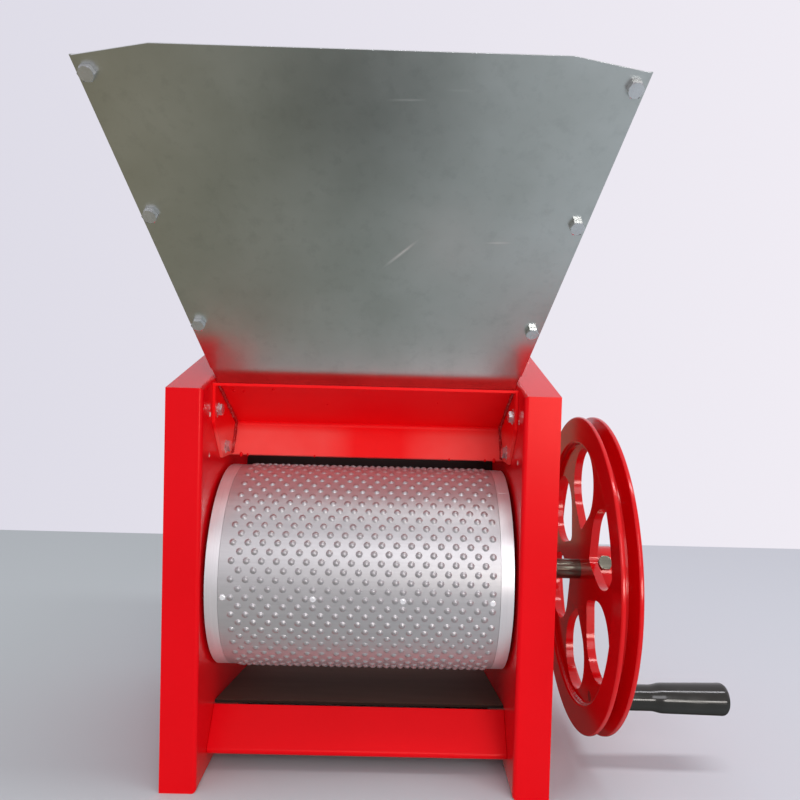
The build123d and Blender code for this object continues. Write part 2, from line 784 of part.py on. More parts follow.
breast_back_y = axis_y + breast_outer
stop_nut_y = breast_back_y + breast_boss_length + breast_travel_out + stop_gap + stop_nut_height
crossbar_y = stop_nut_y + screw_end_gap + crossbar_sheet
crossbar_base = axis_height - crossbar_height / 2
crossbar_points = [
    (crossbar_y + crossbar_leg, crossbar_base),
    (crossbar_y, crossbar_base),
    (crossbar_y, crossbar_base + crossbar_height),
]
screw_xs = (-screw_spacing / 2, screw_spacing / 2)
with BuildPart() as rear_crossbar:
    add(folded_plate(crossbar_points, crossbar_sheet, frame_gap).part)
    with BuildSketch(Plane((0, crossbar_y, axis_height), x_dir=(1, 0, 0), z_dir=(0, -1, 0))):
        with Locations(*[(x, 0) for x in screw_xs]):
            Circle(screw_diameter / 2 + screw_hole_gap)
    extrude(amount=2 * crossbar_sheet, both=True, mode=Mode.SUBTRACT)
save(rear_crossbar, "rear_crossbar")

# Breast: a concave plate behind the drum, closer at its foot than at its top
breast_length = frame_gap - 2 * breast_end_gap
breast_arc = breast_top_angle - breast_foot_angle
screw_tip_y = breast_back_y + breast_boss_length - screw_tip
boss_bore_depth = screw_tip + breast_travel_out + breast_travel_in
with BuildPart() as breast_plate:
    with BuildSketch(Plane.YZ.offset(-breast_length / 2)):
        with BuildLine():
            concave = CenterArc((axis_y, breast_centre_z), breast_inner, breast_foot_angle, breast_arc)
            back = CenterArc((axis_y, breast_centre_z), breast_outer, breast_foot_angle, breast_arc)
            Line(concave @ 0, back @ 0)
            Line(concave @ 1, back @ 1)
        make_face()
    extrude(amount=breast_length)
    boss_plane = Plane((0, breast_back_y + breast_boss_length, axis_height), (1, 0, 0), (0, 1, 0))
    with BuildSketch(boss_plane):
        with Locations(*[(x, 0) for x in screw_xs]):
            Circle(breast_boss_diameter / 2)
    extrude(amount=-(breast_boss_length + breast_thickness / 2))
    with BuildSketch(boss_plane):
        with Locations(*[(x, 0) for x in screw_xs]):
            Circle(screw_diameter / 2 + screw_hole_gap)
    extrude(amount=-boss_bore_depth, mode=Mode.SUBTRACT)
    for sign in (-1, 1):
        with BuildSketch(Plane.YZ.offset(sign * breast_length / 2)):
            with Locations(*pin_places):
                Circle(pin_diameter / 2 + slip_clearance)
        extrude(amount=-sign * pin_depth, mode=Mode.SUBTRACT)
save(breast_plate, "breast_plate")

with BuildPart() as breast_pins:
    for sign in (-1, 1):
        with BuildSketch(Plane.YZ.offset(sign * (breast_length / 2 - pin_depth))):
            with Locations(*pin_places):
                Circle(pin_diameter / 2)
        extrude(amount=sign * (pin_depth + breast_end_gap + frame_sheet + pin_proud))
save(breast_pins, "breast_pins")

# Captive adjusting screws: the head stays behind the crossbar and the stop nut before it
screw_head_y = crossbar_y + screw_end_gap
for side, x in zip(("left", "right"), screw_xs):
    head_plane = Plane((x, screw_head_y, axis_height), x_dir=(1, 0, 0), z_dir=(0, 1, 0))
    adjusting_screw = hex_bolts(
        [head_plane], m10_flats, m10_head, screw_diameter, screw_head_y - screw_tip_y
    )
    save(adjusting_screw, f"{side}_adjusting_screw")
    nut_plane = Plane((x, stop_nut_y, axis_height), x_dir=(1, 0, 0), z_dir=(0, -1, 0))
    with BuildPart() as stop_nut:
        with BuildSketch(nut_plane):
            RegularPolygon(m10_flats / 2, 6, major_radius=False)
            Circle(screw_diameter / 2 + slip_clearance, mode=Mode.SUBTRACT)
        extrude(amount=stop_nut_height)
    save(stop_nut, f"{side}_stop_nut")

# Hopper front and rear panels
front_panel_plane = Plane(front_foot, x_dir=(1, 0, 0), z_dir=tuple(front_out))
rear_panel_plane = Plane(rear_foot, x_dir=(-1, 0, 0), z_dir=tuple(rear_out))


def hopper_panel(plane, corner_slant, bolt_slants):
    """A flat sloping panel with a crowned top edge and bolt holes along both slanted edges."""
    crown_half = hopper_half(corner_slant) - hopper_crown_inset
    with BuildPart() as panel:
        with BuildSketch(plane):
            with BuildLine():
                Polyline(
                    (-hopper_foot_half, 0),
                    (hopper_foot_half, 0),
                    (hopper_half(corner_slant), corner_slant),
                    (crown_half, corner_slant + hopper_crown_rise),
                    (-crown_half, corner_slant + hopper_crown_rise),
                    (-hopper_half(corner_slant), corner_slant),
                    close=True,
                )
            make_face()
            for slant in bolt_slants:
                x = hopper_half(slant) - panel_bolt_inset
                with Locations((-x, slant), (x, slant)):
                    Circle(m5 / 2 + hole_clearance, mode=Mode.SUBTRACT)
        extrude(amount=-hopper_sheet)
    return panel


save(hopper_panel(front_panel_plane, hopper_corner_slant, front_bolt_slants), "hopper_front_panel")
save(hopper_panel(rear_panel_plane, rear_corner_slant, rear_bolt_slants), "hopper_rear_panel")

# Hopper side panels: a leaning wall, a flange behind each sloping panel and a tab on the frame
side_corners = [
    front_point(hopper_half(0) - flange_inset, 0, hopper_sheet),
    rear_point(hopper_half(0) - flange_inset, 0, hopper_sheet),
    rear_point(hopper_half(rear_corner_slant) - flange_inset, rear_corner_slant, hopper_sheet),
    front_point(hopper_half(hopper_corner_slant) - flange_inset, hopper_corner_slant, hopper_sheet),
]
side_along = side_corners[1] - side_corners[0]
side_normal = side_along.cross(side_corners[3] - side_corners[0])
side_plane = Plane(side_corners[0], x_dir=tuple(side_along), z_dir=tuple(side_normal))
with BuildPart() as hopper_right_panel:
    with BuildSketch(side_plane):
        with BuildLine():
            Polyline(*[side_plane.to_local_coords(corner) for corner in side_corners], close=True)
        make_face()
    extrude(amount=hopper_sheet)
    split(bisect_by=front_panel_plane.offset(-hopper_sheet), keep=Keep.BOTTOM)
    split(bisect_by=rear_panel_plane.offset(-hopper_sheet), keep=Keep.BOTTOM)
    for plane, top, bolt_slants, turn in (
        (front_panel_plane, hopper_corner_slant, front_bolt_slants, 1),
        (rear_panel_plane, rear_corner_slant, rear_bolt_slants, -1),
    ):
        with BuildSketch(plane.offset(-hopper_sheet)):
            with BuildLine():
                Polyline(
                    (turn * (hopper_half(flange_start) - flange_inset), flange_start),
                    (turn * (hopper_half(flange_start) + flange_proud), flange_start),
                    (turn * (hopper_half(top) + flange_proud), top),
                    (turn * (hopper_half(top) - flange_inset), top),
                    close=True,
                )
            make_face()
            for slant in bolt_slants:
                with Locations((turn * (hopper_half(slant) - panel_bolt_inset), slant)):
                    Circle(m5 / 2 + hole_clearance, mode=Mode.SUBTRACT)
        extrude(amount=-hopper_sheet)
    with BuildSketch(frame_top_plane):
        with Locations((web_x + tab_reach, (tab_start + tab_end) / 2)):
            Rectangle(
                web_x + tab_reach - hopper_foot_half + flange_inset,
                tab_end - tab_start,
                align=(Align.MAX, Align.CENTER),
            )
        with Locations(*tab_bolt_places):
            Circle(m6 / 2 + hole_clearance, mode=Mode.SUBTRACT)
    extrude(amount=hopper_sheet)
save(hopper_right_panel, "hopper_right_panel")
save(mirrored(hopper_right_panel), "hopper_left_panel")

# Hopper bolts and nuts
hopper_heads = []
hopper_nut_seats = []
for plane, slants in ((front_panel_plane, front_bolt_slants), (rear_panel_plane, rear_bolt_slants)):
    for slant in slants:
        for sign in (-1, 1):
            x = sign * (hopper_half(slant) - panel_bolt_inset)
            head = plane.from_local_coords(Vector(x, slant, 0))
            seat = plane.from_local_coords(Vector(x, slant, -2 * hopper_sheet))
            hopper_heads.append(Plane(head, x_dir=plane.x_dir, z_dir=plane.z_dir))
            hopper_nut_seats.append(Plane(seat, x_dir=plane.x_dir, z_dir=-plane.z_dir))
hopper_bolt_length = 2 * hopper_sheet + m5_nut + bolt_end
save(hex_bolts(hopper_heads, m5_flats, m5_head, m5, hopper_bolt_length), "hopper_bolts")
save(hex_nuts(hopper_nut_seats, m5_flats, m5_nut, m5), "hopper_nuts")

tab_heads = []
tab_nut_seats = []
for sign in (-1, 1):
    for x, along in tab_bolt_places:
        head = frame_top_plane.from_local_coords(Vector(sign * x, along, hopper_sheet))
        seat = frame_top_plane.from_local_coords(Vector(sign * x, along, -frame_sheet))
        tab_heads.append(Plane(head, x_dir=(1, 0, 0), z_dir=frame_top_plane.z_dir))
        tab_nut_seats.append(Plane(seat, x_dir=(1, 0, 0), z_dir=-frame_top_plane.z_dir))
tab_bolt_length = hopper_sheet + frame_sheet + m6_nut + bolt_end
save(hex_bolts(tab_heads, m6_flats, m6_head, m6, tab_bolt_length), "hopper_tab_bolts")
save(hex_nuts(tab_nut_seats, m6_flats, m6_nut, m6), "hopper_tab_nuts")
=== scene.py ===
import json
from math import cos, pi, radians, sin, tan

import bmesh
import bpy
from mathutils import Matrix, Vector, noise


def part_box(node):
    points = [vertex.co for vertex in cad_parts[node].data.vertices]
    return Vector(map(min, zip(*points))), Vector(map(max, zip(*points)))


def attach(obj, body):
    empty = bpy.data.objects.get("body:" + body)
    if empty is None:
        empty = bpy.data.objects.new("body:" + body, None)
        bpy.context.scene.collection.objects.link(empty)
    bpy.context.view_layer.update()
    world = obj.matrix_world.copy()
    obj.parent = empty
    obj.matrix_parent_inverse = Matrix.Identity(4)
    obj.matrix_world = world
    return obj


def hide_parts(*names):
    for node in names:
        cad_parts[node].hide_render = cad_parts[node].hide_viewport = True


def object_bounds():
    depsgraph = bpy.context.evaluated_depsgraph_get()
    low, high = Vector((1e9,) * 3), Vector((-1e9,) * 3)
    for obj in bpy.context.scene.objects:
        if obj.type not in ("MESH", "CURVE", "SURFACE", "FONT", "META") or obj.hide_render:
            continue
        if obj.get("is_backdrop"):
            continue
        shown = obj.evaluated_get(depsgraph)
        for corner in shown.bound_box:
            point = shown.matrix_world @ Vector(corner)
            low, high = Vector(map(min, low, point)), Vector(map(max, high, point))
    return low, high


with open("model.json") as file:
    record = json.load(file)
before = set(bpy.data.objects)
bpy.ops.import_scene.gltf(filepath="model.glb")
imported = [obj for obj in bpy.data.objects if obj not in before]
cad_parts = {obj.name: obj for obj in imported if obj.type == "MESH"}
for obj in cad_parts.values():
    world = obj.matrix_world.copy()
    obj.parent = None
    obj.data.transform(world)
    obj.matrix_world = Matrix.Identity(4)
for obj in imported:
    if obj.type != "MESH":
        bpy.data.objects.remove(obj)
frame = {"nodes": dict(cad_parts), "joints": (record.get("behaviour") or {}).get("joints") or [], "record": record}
cad_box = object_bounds()

# The scene is in metres in the shared frame, and sizes are written in millimetres
MM = 0.001

record = frame["record"]
body_of_node = {node: body for body, nodes in record["behaviour"]["bodies"].items() for node in nodes}
slot_of_node = {part["node"]: part["material_slot"] for part in record["subparts"]}
shaft_line = Vector(next(joint["pos_m"] for joint in frame["joints"] if joint["name"] == "drum_spin"))

# Places that details are set out from, in millimetres: x from the middle, or a pair of y and z
frame_face = 107.5
frame_sheet = 2
ear_face = frame_face - frame_sheet
hopper_foot = (-71, 278.8)
hopper_lean = radians(42.9)
guard_lip = (-71, 276.2)
guard_bend = (-13.9, 247.6)
guard_heel = (-27, 223.6)
guard_bolt_places = [(-71, 259.6), (-45.5, 231.3)]


# Shader helpers

# The sockets of a Mix node that mixes two colours
FACTOR, FIRST, SECOND, MIXED = 0, 6, 7, 2


def linear(hex_colour):
    """A linear RGBA colour from an sRGB hex value."""
    channels = [int(hex_colour[start:start + 2], 16) / 255 for start in (1, 3, 5)]
    return [c / 12.92 if c <= 0.04045 else ((c + 0.055) / 1.055) ** 2.4 for c in channels] + [1.0]


def per_mm(size):
    """The texture scale that gives a pattern features of about this size in millimetres."""
    return 1 / (size * MM)


def set_inputs(tree, node, inputs):
    """Set inputs of a node, each to a value or to another node's socket."""
    for name, value in inputs.items():
        if isinstance(value, bpy.types.NodeSocket):
            tree.links.new(value, node.inputs[name])
        else:
            node.inputs[name].default_value = value


def add_node(tree, kind, inputs=None, **settings):
    """One shader node with its inputs, and its properties as settings."""
    made = tree.nodes.new("ShaderNode" + kind)
    for name, value in settings.items():
        setattr(made, name, value)
    set_inputs(tree, made, inputs or {})
    return made


def start_material(name, constants=None):
    """A material with its tree, its shader with constants set, and the place of a point on its piece."""
    material = bpy.data.materials.new(name)
    material.use_nodes = True
    tree = material.node_tree
    shader = tree.nodes["Principled BSDF"]
    set_inputs(tree, shader, constants or {})
    place = add_node(tree, "TexCoord").outputs["Object"]
    return material, tree, shader, place


# Materials


def on_front_panel(x, slant):
    """A point of the hopper's front face: its distance to the middle and up the slope, in millimetres."""
    foot_y, foot_z = hopper_foot
    return Vector((x, foot_y - slant * sin(hopper_lean), foot_z + slant * cos(hopper_lean))) * MM


def scratch_mask(tree, place, start, end, width, strength):
    """A straight scratch between two points of the hopper's front face, fading out from its middle line."""
    along = end - start
    out = (on_front_panel(0, 1) - on_front_panel(0, 0)).cross(Vector((1, 0, 0))).normalized()
    turn = Matrix((along.normalized(), out.cross(along).normalized(), out)).transposed()
    # Deep enough to colour the whole sheet, which is thinner
    depth = 6
    local = add_node(
        tree, "Mapping",
        {"Vector": place, "Location": (start + end) / 2, "Rotation": turn.to_euler(),
         "Scale": (along.length / 2, width / 2 * MM, depth / 2 * MM)},
        vector_type="TEXTURE",
    )
    reach = add_node(tree, "VectorMath", {0: local.outputs["Vector"]}, operation="LENGTH")
    return add_node(
        tree, "MapRange",
        {"Value": reach.outputs["Value"], "From Min": 1.0, "From Max": 0.2, "To Max": strength},
    ).outputs["Result"]


def galvanised_sheet():
    """Galvanised steel sheet, skin-passed: a satin grey mirror, softly clouded, with marks of handling."""
    material, tree, shader, place = start_material("galvanised_sheet", {"Metallic": 1.0})
    # Clouds some 55 mm across, in tone and in gloss
    cloud = add_node(
        tree, "TexNoise", {"Vector": place, "Scale": per_mm(55), "Detail": 4.0, "Roughness": 0.55}
    )
    tone = add_node(tree, "MapRange", {"Value": cloud.outputs["Fac"], "From Min": 0.3, "From Max": 0.7})
    gloss = add_node(tree, "MapRange", {"Value": tone.outputs["Result"], "To Min": 0.285, "To Max": 0.325})
    clouded = add_node(
        tree, "Mix", {FACTOR: tone.outputs["Result"], FIRST: linear("#cfd2ce"), SECOND: linear("#dfe2e0")},
        data_type="RGBA",
    )
    # Smudges some 9 mm across
    smudge = add_node(
        tree, "TexNoise", {"Vector": place, "Scale": per_mm(9), "Detail": 5.0, "Roughness": 0.65}
    )
    smudged = add_node(
        tree, "MapRange", {"Value": smudge.outputs["Fac"], "From Min": 0.52, "From Max": 0.72, "To Max": 0.2}
    )
    handled = add_node(
        tree, "Mix",
        {FACTOR: smudged.outputs["Result"], FIRST: clouded.outputs[MIXED], SECOND: linear("#a6aaa8")},
        data_type="RGBA",
    )
    # A patch rubbed dull and pale beside the long scratch, 90 mm across
    patch_centre, patch_radius = on_front_panel(48, 122), 45
    patch = add_node(
        tree, "Mapping", {"Vector": place, "Location": patch_centre, "Scale": (patch_radius * MM,) * 3},
        vector_type="TEXTURE",
    )
    from_patch = add_node(tree, "VectorMath", {0: patch.outputs["Vector"]}, operation="LENGTH")
    rubbed = add_node(
        tree, "MapRange",
        {"Value": from_patch.outputs["Value"], "From Min": 1.0, "From Max": 0.0, "To Max": 0.25},
        interpolation_type="SMOOTHSTEP",
    )
    worn = rubbed.outputs["Result"]
    # Scratches: start and end on the front face and width, in millimetres, and how bright they are
    scratches = [
        ((9.3, 99.1), (35.9, 124.7), 3.0, 0.8), ((69.1, 120.3), (89.9, 121.0), 1.8, 0.8),
        ((11.6, 203.3), (34.8, 204.0), 1.8, 0.2), ((39.6, 209.2), (60.0, 209.3), 1.8, 0.12),
    ]
    for start, end, width, strength in scratches:
        line = scratch_mask(tree, place, on_front_panel(*start), on_front_panel(*end), width, strength)
        worn = add_node(tree, "Math", {0: line, 1: worn}, operation="MAXIMUM").outputs["Value"]
    marked = add_node(
        tree, "Mix", {FACTOR: worn, FIRST: handled.outputs[MIXED], SECOND: linear("#f4f6f4")},
        data_type="RGBA",
    )
    dulled = add_node(tree, "Math", {0: worn, 1: 0.4, 2: gloss.outputs["Result"]}, operation="MULTIPLY_ADD")
    set_inputs(tree, shader, {"Base Color": marked.outputs[MIXED], "Roughness": dulled.outputs["Value"]})
    return material


def guard_painted_sheen(tree, place, cloud, coat):
    """A painted sheen on the strip below the guard's bend: paler, patchy, and weaker in its middle."""
    # The painted sheen begins under the bend and is full 7 mm lower
    sheen_top, sheen_full = 247, 240
    # Where the painted sheen is weaker: its middle, and how far from there it is weakest and where it ends
    sheen_gap_middle, sheen_gap_weakest, sheen_gap_end = 8, 18, 44
    axes = add_node(tree, "SeparateXYZ", {"Vector": place})
    strip = add_node(
        tree, "MapRange",
        {"Value": axes.outputs["Z"], "From Min": sheen_top * MM, "From Max": sheen_full * MM,
         "To Max": 0.55},
    )
    across = add_node(tree, "Math", {0: axes.outputs["X"], 1: sheen_gap_middle * MM}, operation="SUBTRACT")
    off_middle = add_node(tree, "Math", {0: across.outputs["Value"]}, operation="ABSOLUTE")
    sheen_outside_gap = add_node(
        tree, "MapRange",
        {"Value": off_middle.outputs["Value"], "From Min": sheen_gap_weakest * MM, "From Max": sheen_gap_end * MM,
         "To Min": 0.15},
    )
    sheen_with_gap = add_node(
        tree, "Math", {0: strip.outputs["Result"], 1: sheen_outside_gap.outputs["Result"]}, operation="MULTIPLY"
    )
    patchy = add_node(tree, "Math", {0: sheen_with_gap.outputs["Value"], 1: cloud}, operation="MULTIPLY")
    return add_node(
        tree, "Mix", {FACTOR: patchy.outputs["Value"], FIRST: coat, SECOND: linear("#ff9a90")},
        data_type="RGBA",
    ).outputs[MIXED]


def red_enamel(name, deep, bright, grain, roughness, ior, tint, sheen_painter=None):
    """Sprayed red enamel: an even, deep red with a thin gloss and a slight orange peel from spraying."""
    material, tree, shader, place = start_material(
        name, {"Roughness": roughness, "IOR": ior, "Specular Tint": linear(tint)}
    )
    # Tones some 60 mm across
    cloud = add_node(tree, "TexNoise", {"Vector": place, "Scale": per_mm(60), "Detail": 3.0}).outputs["Fac"]
    colour = add_node(
        tree, "Mix", {FACTOR: cloud, FIRST: linear(deep), SECOND: linear(bright)}, data_type="RGBA"
    ).outputs[MIXED]
    # A painted sheen, where one is given
    if sheen_painter:
        colour = sheen_painter(tree, place, cloud, colour)
    peel = add_node(tree, "TexNoise", {"Vector": place, "Scale": per_mm(grain), "Detail": 2.0})
    bump = add_node(tree, "Bump", {"Height": peel.outputs["Fac"], "Strength": 0.12, "Distance": 0.1 * MM})
    set_inputs(tree, shader, {"Base Color": colour, "Normal": bump.outputs["Normal"]})
    return material


def worked_metal(name, dark, light, roughness, grain, spread=0.06, depth=0.04, metallic=1.0):
    """A bare metal: two close tones, and a grain in its gloss and surface from how it was worked.

    The grain is the pattern's size along x, y and z, and the depth its height, in millimetres.
    """
    material, tree, shader, place = start_material(name, {"Metallic": metallic})
    lines = add_node(tree, "Mapping", {"Vector": place, "Scale": tuple(per_mm(size) for size in grain)})
    pattern = add_node(tree, "TexNoise", {"Vector": lines.outputs["Vector"], "Scale": 1.0, "Detail": 4.0})
    colour = add_node(
        tree, "Mix", {FACTOR: pattern.outputs["Fac"], FIRST: linear(dark), SECOND: linear(light)},
        data_type="RGBA",
    )
    gloss = add_node(
        tree, "MapRange",
        {"Value": pattern.outputs["Fac"], "From Min": 0.25, "From Max": 0.75,
         "To Min": roughness - spread, "To Max": roughness + spread},
    )
    set_inputs(tree, shader, {"Base Color": colour.outputs[MIXED], "Roughness": gloss.outputs["Result"]})
    if depth:
        bump = add_node(
            tree, "Bump", {"Height": pattern.outputs["Fac"], "Strength": 0.2, "Distance": depth * MM}
        )
        set_inputs(tree, shader, {"Normal": bump.outputs["Normal"]})
    return material


def pressed_sheet():
    """Pickled stainless sheet: satin, faintly lined along the drum, with bubbles polished in the press and a shade
    darker, a painted shade.
    """
    material, tree, shader, place = start_material("stainless_sheet")
    # Rolling lines some 25 mm long, too fine to show, so drawn 1.5 mm apart
    lines = add_node(tree, "Mapping", {"Vector": place, "Scale": (per_mm(25), per_mm(1.5), per_mm(1.5))})
    pattern = add_node(tree, "TexNoise", {"Vector": lines.outputs["Vector"], "Scale": 1.0, "Detail": 4.0})
    flat = add_node(
        tree, "Mix", {FACTOR: pattern.outputs["Fac"], FIRST: linear("#b9b7b8"), SECOND: linear("#c9c7c8")},
        data_type="RGBA",
    )
    raised = add_node(tree, "Attribute", attribute_name="rise")
    dome = add_node(
        tree, "MapRange", {"Value": raised.outputs["Fac"], "From Min": 0.02, "From Max": 0.4}
    ).outputs["Result"]
    # The bubbles are a shade darker than the flats: painted shade for their dark sides
    colour = add_node(
        tree, "Mix", {FACTOR: dome, FIRST: flat.outputs[MIXED], SECOND: linear("#b6b3b4")}, data_type="RGBA"
    )
    polish = add_node(tree, "MapRange", {"Value": dome, "To Min": 0.42, "To Max": 0.40})
    bareness = add_node(tree, "MapRange", {"Value": dome, "To Min": 0.55, "To Max": 0.60})
    bump = add_node(
        tree, "Bump", {"Height": pattern.outputs["Fac"], "Strength": 0.2, "Distance": 0.015 * MM}
    )
    set_inputs(tree, shader, {
        "Base Color": colour.outputs[MIXED], "Metallic": bareness.outputs["Result"],
        "Roughness": polish.outputs["Result"], "Normal": bump.outputs["Normal"],
    })
    return material


def throat_shade_enamel():
    """Red enamel in the throat, painted nearly black up to about where the cherries lie: painted shade for the
    dark throat.
    """
    material, tree, shader, place = start_material("throat_shade_enamel", {"Roughness": 0.45, "IOR": 1.3})
    # The painted shade's edge wanders by up to 50 mm, in waves of some 18 mm
    wander, full_height, clear_height = 50, 255, 295
    height = add_node(tree, "SeparateXYZ", {"Vector": place}).outputs["Z"]
    edge = add_node(tree, "TexNoise", {"Vector": place, "Scale": per_mm(18), "Detail": 5.0})
    line = add_node(
        tree, "Math", {0: edge.outputs["Fac"], 1: wander * MM, 2: height}, operation="MULTIPLY_ADD"
    )
    below = add_node(
        tree, "MapRange",
        {"Value": line.outputs["Value"], "From Min": clear_height * MM, "From Max": full_height * MM},
    )
    # Only the face that looks forward, into the throat, gets the painted shade
    normal = add_node(tree, "NewGeometry").outputs["True Normal"]
    facing = add_node(tree, "SeparateXYZ", {"Vector": normal}).outputs["Y"]
    inside = add_node(tree, "MapRange", {"Value": facing, "From Min": 0.0, "From Max": -0.3})
    painted_shade = add_node(
        tree, "Math", {0: below.outputs["Result"], 1: inside.outputs["Result"]}, operation="MULTIPLY"
    )
    colour = add_node(
        tree, "Mix", {FACTOR: painted_shade.outputs["Value"], FIRST: linear("#de0511"), SECOND: linear("#1a0b08")},
        data_type="RGBA",
    )
    set_inputs(tree, shader, {"Base Color": colour.outputs[MIXED]})
    return material


def chipped_paint():
    """Chipped enamel: dull grey metal with a pink edge of thinned paint."""
    material, tree, shader, place = start_material("chipped_paint", {"Roughness": 0.5})
    ragged = add_node(tree, "TexNoise", {"Vector": place, "Scale": per_mm(1.5), "Detail": 3.0})
    edge = add_node(tree, "MapRange", {"Value": ragged.outputs["Fac"], "From Min": 0.42, "From Max": 0.58})
    colour = add_node(
        tree, "Mix", {FACTOR: edge.outputs["Result"], FIRST: linear("#d5bdb8"), SECOND: linear("#b9453f")},
        data_type="RGBA",
    )
    set_inputs(tree, shader, {"Base Color": colour.outputs[MIXED]})
    return material


def weld_paint():
    """Red enamel over weld beads: uneven, with pale patches some 2 mm across, partly rubbed paint and partly a
    painted highlight.
    """
    material, tree, shader, place = start_material("weld_paint", {"Roughness": 0.25, "IOR": 1.4})
    rubbed = add_node(tree, "TexNoise", {"Vector": place, "Scale": per_mm(2.2), "Detail": 3.0})
    # Pale patches: partly rubbed paint, partly a painted highlight
    crest = add_node(tree, "MapRange", {"Value": rubbed.outputs["Fac"], "From Min": 0.56, "From Max": 0.80})
    colour = add_node(
        tree, "Mix", {FACTOR: crest.outputs["Result"], FIRST: linear("#a8070e"), SECOND: linear("#d98a83")},
        data_type="RGBA",
    )
    bump = add_node(tree, "Bump", {"Height": rubbed.outputs["Fac"], "Strength": 0.3, "Distance": 0.2 * MM})
    set_inputs(tree, shader, {"Base Color": colour.outputs[MIXED], "Normal": bump.outputs["Normal"]})
    return material


def rolled_sheet():
    """Hot-rolled sheet of the chute: dull brown mill scale in long streaks, made darker as painted shade, its
    front end painted black.
    """
    material, tree, shader, place = start_material("rolled_sheet", {"Roughness": 0.8, "IOR": 1.15})
    streaks = add_node(tree, "Mapping", {"Vector": place, "Scale": (per_mm(60), per_mm(12), per_mm(12))})
    scale = add_node(tree, "TexNoise", {"Vector": streaks.outputs["Vector"], "Scale": 1.0, "Detail": 5.0})
    brown = add_node(
        tree, "Mix", {FACTOR: scale.outputs["Fac"], FIRST: linear("#5a4036"), SECOND: linear("#6a4e42")},
        data_type="RGBA",
    )
    # The front end is painted nearly black: painted shade where its edge would catch the light
    normal = add_node(tree, "NewGeometry").outputs["True Normal"]
    facing = add_node(tree, "SeparateXYZ", {"Vector": normal}).outputs["Y"]
    shaded_front_end = add_node(tree, "MapRange", {"Value": facing, "From Min": -0.4, "From Max": -0.7})
    colour = add_node(
        tree, "Mix", {FACTOR: shaded_front_end.outputs["Result"], FIRST: brown.outputs[MIXED], SECOND: linear("#2c1f1a")},
        data_type="RGBA",
    )
    bump = add_node(tree, "Bump", {"Height": scale.outputs["Fac"], "Strength": 0.2, "Distance": 0.05 * MM})
    set_inputs(tree, shader, {"Base Color": colour.outputs[MIXED], "Normal": bump.outputs["Normal"]})
    return material


def black_plastic():
    """Moulded black phenolic plastic: a polished dark gloss with a fine mould grain and rub marks."""
    material, tree, shader, place = start_material("black_plastic", {"IOR": 1.55})
    grain = add_node(tree, "TexNoise", {"Vector": place, "Scale": per_mm(1.2), "Detail": 2.0})
    rubbed = add_node(tree, "TexNoise", {"Vector": place, "Scale": per_mm(14), "Detail": 4.0})
    colour = add_node(
        tree, "Mix", {FACTOR: rubbed.outputs["Fac"], FIRST: linear("#15150f"), SECOND: linear("#26251f")},
        data_type="RGBA",
    )
    gloss = add_node(
        tree, "MapRange",
        {"Value": rubbed.outputs["Fac"], "From Min": 0.3, "From Max": 0.7, "To Min": 0.12, "To Max": 0.22},
    )
    bump = add_node(tree, "Bump", {"Height": grain.outputs["Fac"], "Strength": 0.06, "Distance": 0.05 * MM})
    set_inputs(tree, shader, {
        "Base Color": colour.outputs[MIXED], "Roughness": gloss.outputs["Result"],
        "Normal": bump.outputs["Normal"],
    })
    return material


# The finish of each material slot
finishes = {
    "galvanised_sheet": galvanised_sheet(),
    "red_enamel": red_enamel("red_enamel", "#de0511", "#ea0716", 1.6, 0.26, 1.4, "#ff9a90"),
    # Enamel on the wheel's cast iron: darker and glossier, over a coarser grain
    "red_cast_iron": red_enamel("red_cast_enamel", "#c8030a", "#d8050f", 2.4, 0.14, 1.5, "#ffe4e0"),
    "stainless_sheet": pressed_sheet(),
    # Turned aluminium: a pale satin with rings round the drum, too fine to show, so drawn at 0.7 mm
    "turned_aluminium": worked_metal(
        "turned_aluminium", "#dad7d8", "#eae8e9", 0.38, (0.7, 40, 40), spread=0.04, depth=0.02, metallic=0.5
    ),
    # Bright zinc plate on small steel: pale, a little cloudy
    "zinc_plate": worked_metal(
        "zinc_plate", "#c6c8ca", "#e2e4e6", 0.20, (6, 6, 6), spread=0.04, depth=0, metallic=0.85
    ),
    # Oiled steel bar: dark olive, with drawing lines along the shaft
    "dark_steel": worked_metal(
        "dark_steel", "#6e6a5e", "#8a8678", 0.22, (40, 1.5, 1.5), spread=0.04, depth=0.01
    ),
    # Sand-cast iron, blacked and oiled: dull and grainy
    "grey_cast_iron": worked_metal("grey_cast_iron", "#2b2a29", "#403e3d", 0.55, (1.2, 1.2, 1.2), depth=0.2),
    # Turned bronze: a warm brown satin with rings round the bush, drawn at 0.8 mm
    "bronze": worked_metal("bronze", "#a4763a", "#c3965a", 0.36, (0.8, 20, 20)),
    "black_plastic": black_plastic(),
}
# The guard's thicker, hazy coat, with a painted sheen on its lower strip
hazy_enamel = red_enamel(
    "hazy_red_enamel", "#f2040e", "#fa0612", 2.2, 0.42, 1.5, "#ff9a90", sheen_painter=guard_painted_sheen
)
# Rivets nearly white all over: a painted glint
white_glint_rivet = worked_metal(
    "white_glint_rivet", "#f8f8f9", "#ffffff", 0.18, (4, 4, 4), spread=0.04, depth=0, metallic=0.35
)


# Mesh helpers


def finish_piece(shape, name, body, slot, nodes=(), sharp_angle=32, material=None):
    """Turn a bmesh into a piece that rides on a body and may stand for CAD nodes."""
    mesh = bpy.data.meshes.new(name)
    shape.to_mesh(mesh)
    shape.free()
    mesh.shade_smooth()
    mesh.set_sharp_from_angle(angle=radians(sharp_angle))
    mesh.materials.clear()
    mesh.materials.append(material or finishes[slot])
    piece = bpy.data.objects.new(name, mesh)
    bpy.context.scene.collection.objects.link(piece)
    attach(piece, body)
    if nodes:
        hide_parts(*nodes)
    even = piece.modifiers.new("flat_faces", "WEIGHTED_NORMAL")
    even.keep_sharp = True
    even.weight = 90


